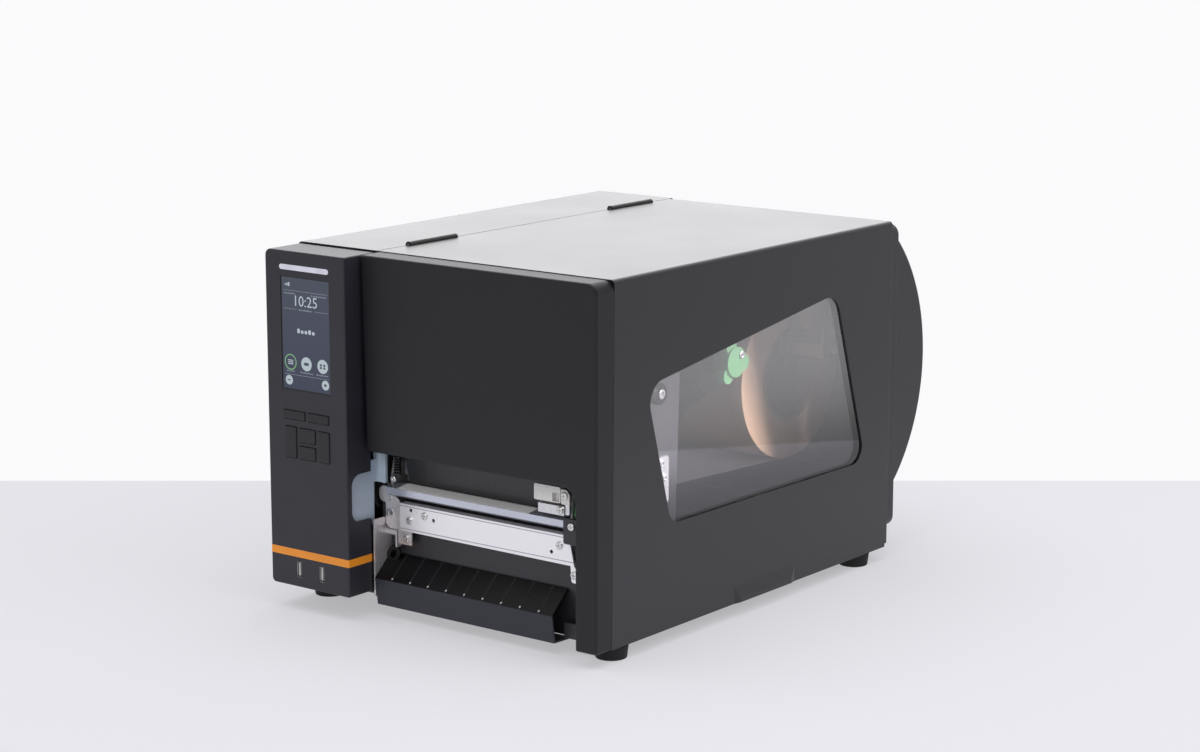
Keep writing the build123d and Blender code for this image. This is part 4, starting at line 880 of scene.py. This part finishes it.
rivets = tidied(new_piece("bracket_rivets", *joined(mouth_screws), "chassis", "polished_steel",
                          screw_steel))


# ---- Rear screws ----
# Black zinc-plated screws, driven through the rear frame into the case, with a round socket in
# each head.

rear_face_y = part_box("rear_frame")[1].y
rear_screw_places = [(-0.152, 0.036), (-0.152, 0.160), (-0.152, 0.290), (-0.085, 0.036),
                     (0.152, 0.036), (0.152, 0.290)]
rear_screws = [socket_screw((x, rear_face_y, z), "y", 0.0034, 0.0014) for x, z in rear_screw_places]
tidied(new_piece("rear_screws", *joined(rear_screws), "chassis", "steel_sheet",
                 bare_metal("black_zinc", (0.05, 0.05, 0.055), 0.32, (1, 1, 1), 0.0006)))


# ---- Studio ----
# A pale table top in a white studio, a large soft lamp overhead, another beside the door, and two
# small lamps that light only the contents of the window and of the mouth.

camera_place = Vector((1.4292, -1.8687, 0.6459))
camera_aim = Vector((-0.5988, 0.7766, -0.1959)).normalized()
camera_data = bpy.data.cameras.new("camera")
camera_data.lens = 83.5
camera_data.sensor_width = 36
camera_data.clip_start = 0.05
camera_data.clip_end = 50
camera = bpy.data.objects.new("camera", camera_data)
camera.location = camera_place
camera.rotation_mode = "QUATERNION"
camera.rotation_quaternion = camera_aim.to_track_quat("-Z", "Y")
bpy.context.scene.collection.objects.link(camera)
bpy.context.scene.camera = camera

ahead = Vector((camera_aim.x, camera_aim.y, 0)).normalized()
sideways = Vector((ahead.y, -ahead.x, 0))
table_far = 2.7
table_right = 0.717
table_left = -2.6
table_near = -1.4
table_corners = [camera_place + ahead * away + sideways * aside for away, aside in
                 ((table_near, table_left), (table_near, table_right),
                  (table_far, table_right), (table_far, table_left))]
table_mesh = bpy.data.meshes.new("table_top")
table_mesh.from_pydata([(corner.x, corner.y, 0) for corner in table_corners], [], [(0, 1, 2, 3)])
table_top = bpy.data.objects.new("table_top", table_mesh)
bpy.context.scene.collection.objects.link(table_top)
paper = Finish("table_paper", Specular_IOR_Level=0.0, Emission_Color=(0.98, 0.975, 1.0, 1),
               Emission_Strength=0.42)
tooth = paper.noise(0.0015, 3.0)
paper.give(Base_Color=paper.colour(tooth, (0.43, 0.43, 0.47), (0.46, 0.46, 0.50)),
           Roughness=0.55 + 0.1 * tooth)
table_mesh.materials.append(paper.material)

world = bpy.data.worlds.new("studio")
world.use_nodes = True
sky = world.node_tree
sky.nodes.clear()
direction = sky.nodes.new("ShaderNodeTexCoord").outputs["Generated"]
facing = sky.nodes.new("ShaderNodeVectorMath")
facing.operation = "DOT_PRODUCT"
facing.inputs[1].default_value = ahead
sky.links.new(direction, facing.inputs[0])
looking_ahead = Field(sky, facing.outputs["Value"])
ray = sky.nodes.new("ShaderNodeLightPath")
seen = Field(sky, ray.outputs["Is Camera Ray"])
mirrored = Field(sky, ray.outputs["Is Glossy Ray"])
wall_seen = 0.97
wall_mirrored = (0.36 + 0.22 * looking_ahead.above(0.05, 0.5)
                 + 2.7 * looking_ahead.above(0.75, 0.5))
wall_lighting = 0.55
glow = seen * wall_seen + (1 - seen) * (mirrored * wall_mirrored + (1 - mirrored) * wall_lighting)
background = sky.nodes.new("ShaderNodeBackground")
background.inputs["Color"].default_value = (0.99, 0.985, 1.0, 1)
sky.links.new(glow.socket, background.inputs["Strength"])
world_output = sky.nodes.new("ShaderNodeOutputWorld")
sky.links.new(background.outputs[0], world_output.inputs["Surface"])
bpy.context.scene.world = world
printer_middle = Vector((0, 0, 0.15))


def softbox(name, place, size, power):
    """A square area lamp aimed at the middle of the printer."""
    data = bpy.data.lights.new(name, "AREA")
    data.size = size
    data.energy = power
    lamp_object = bpy.data.objects.new(name, data)
    lamp_object.location = place
    lamp_object.rotation_mode = "QUATERNION"
    aim = printer_middle - Vector(place)
    lamp_object.rotation_quaternion = aim.to_track_quat("-Z", "Y")
    bpy.context.scene.collection.objects.link(lamp_object)
    return lamp_object


softbox("overhead_softbox", (-0.1, -0.25, 2.5), 2.6, 24)
softbox("door_side_softbox", (1.8, 0.3, 1.6), 1.5, 10).visible_glossy = False


def small_lamp(name, place, size, power, lit):
    """A softbox that lights only the objects given, as a reflector card close to them would."""
    lamp_object = softbox(name, place, size, power)
    receivers = bpy.data.collections.new(name + "_lights_these")
    for thing in lit:
        receivers.objects.link(thing)
    lamp_object.light_linking.receiver_collection = receivers


media_nodes = ("label_roll", "label_core", "hanger_bar", "hanger_guard", "supply_hub", "supply_spindle")
mouth_nodes = ("front_plate", "tear_bar", "mech_screws", "cheek_plates", "latch_block", "inner_cheek")
small_lamp("media_bay_lamp", (1.7, 0.75, 0.95), 1.0, 185,
           [nodes[name] for name in media_nodes] + media_pieces)
small_lamp("mouth_lamp", (0.3, -1.9, 1.1), 0.8, 9,
           [nodes[name] for name in mouth_nodes] + [web, rivets])
bpy.context.scene.view_settings.view_transform = "Standard"
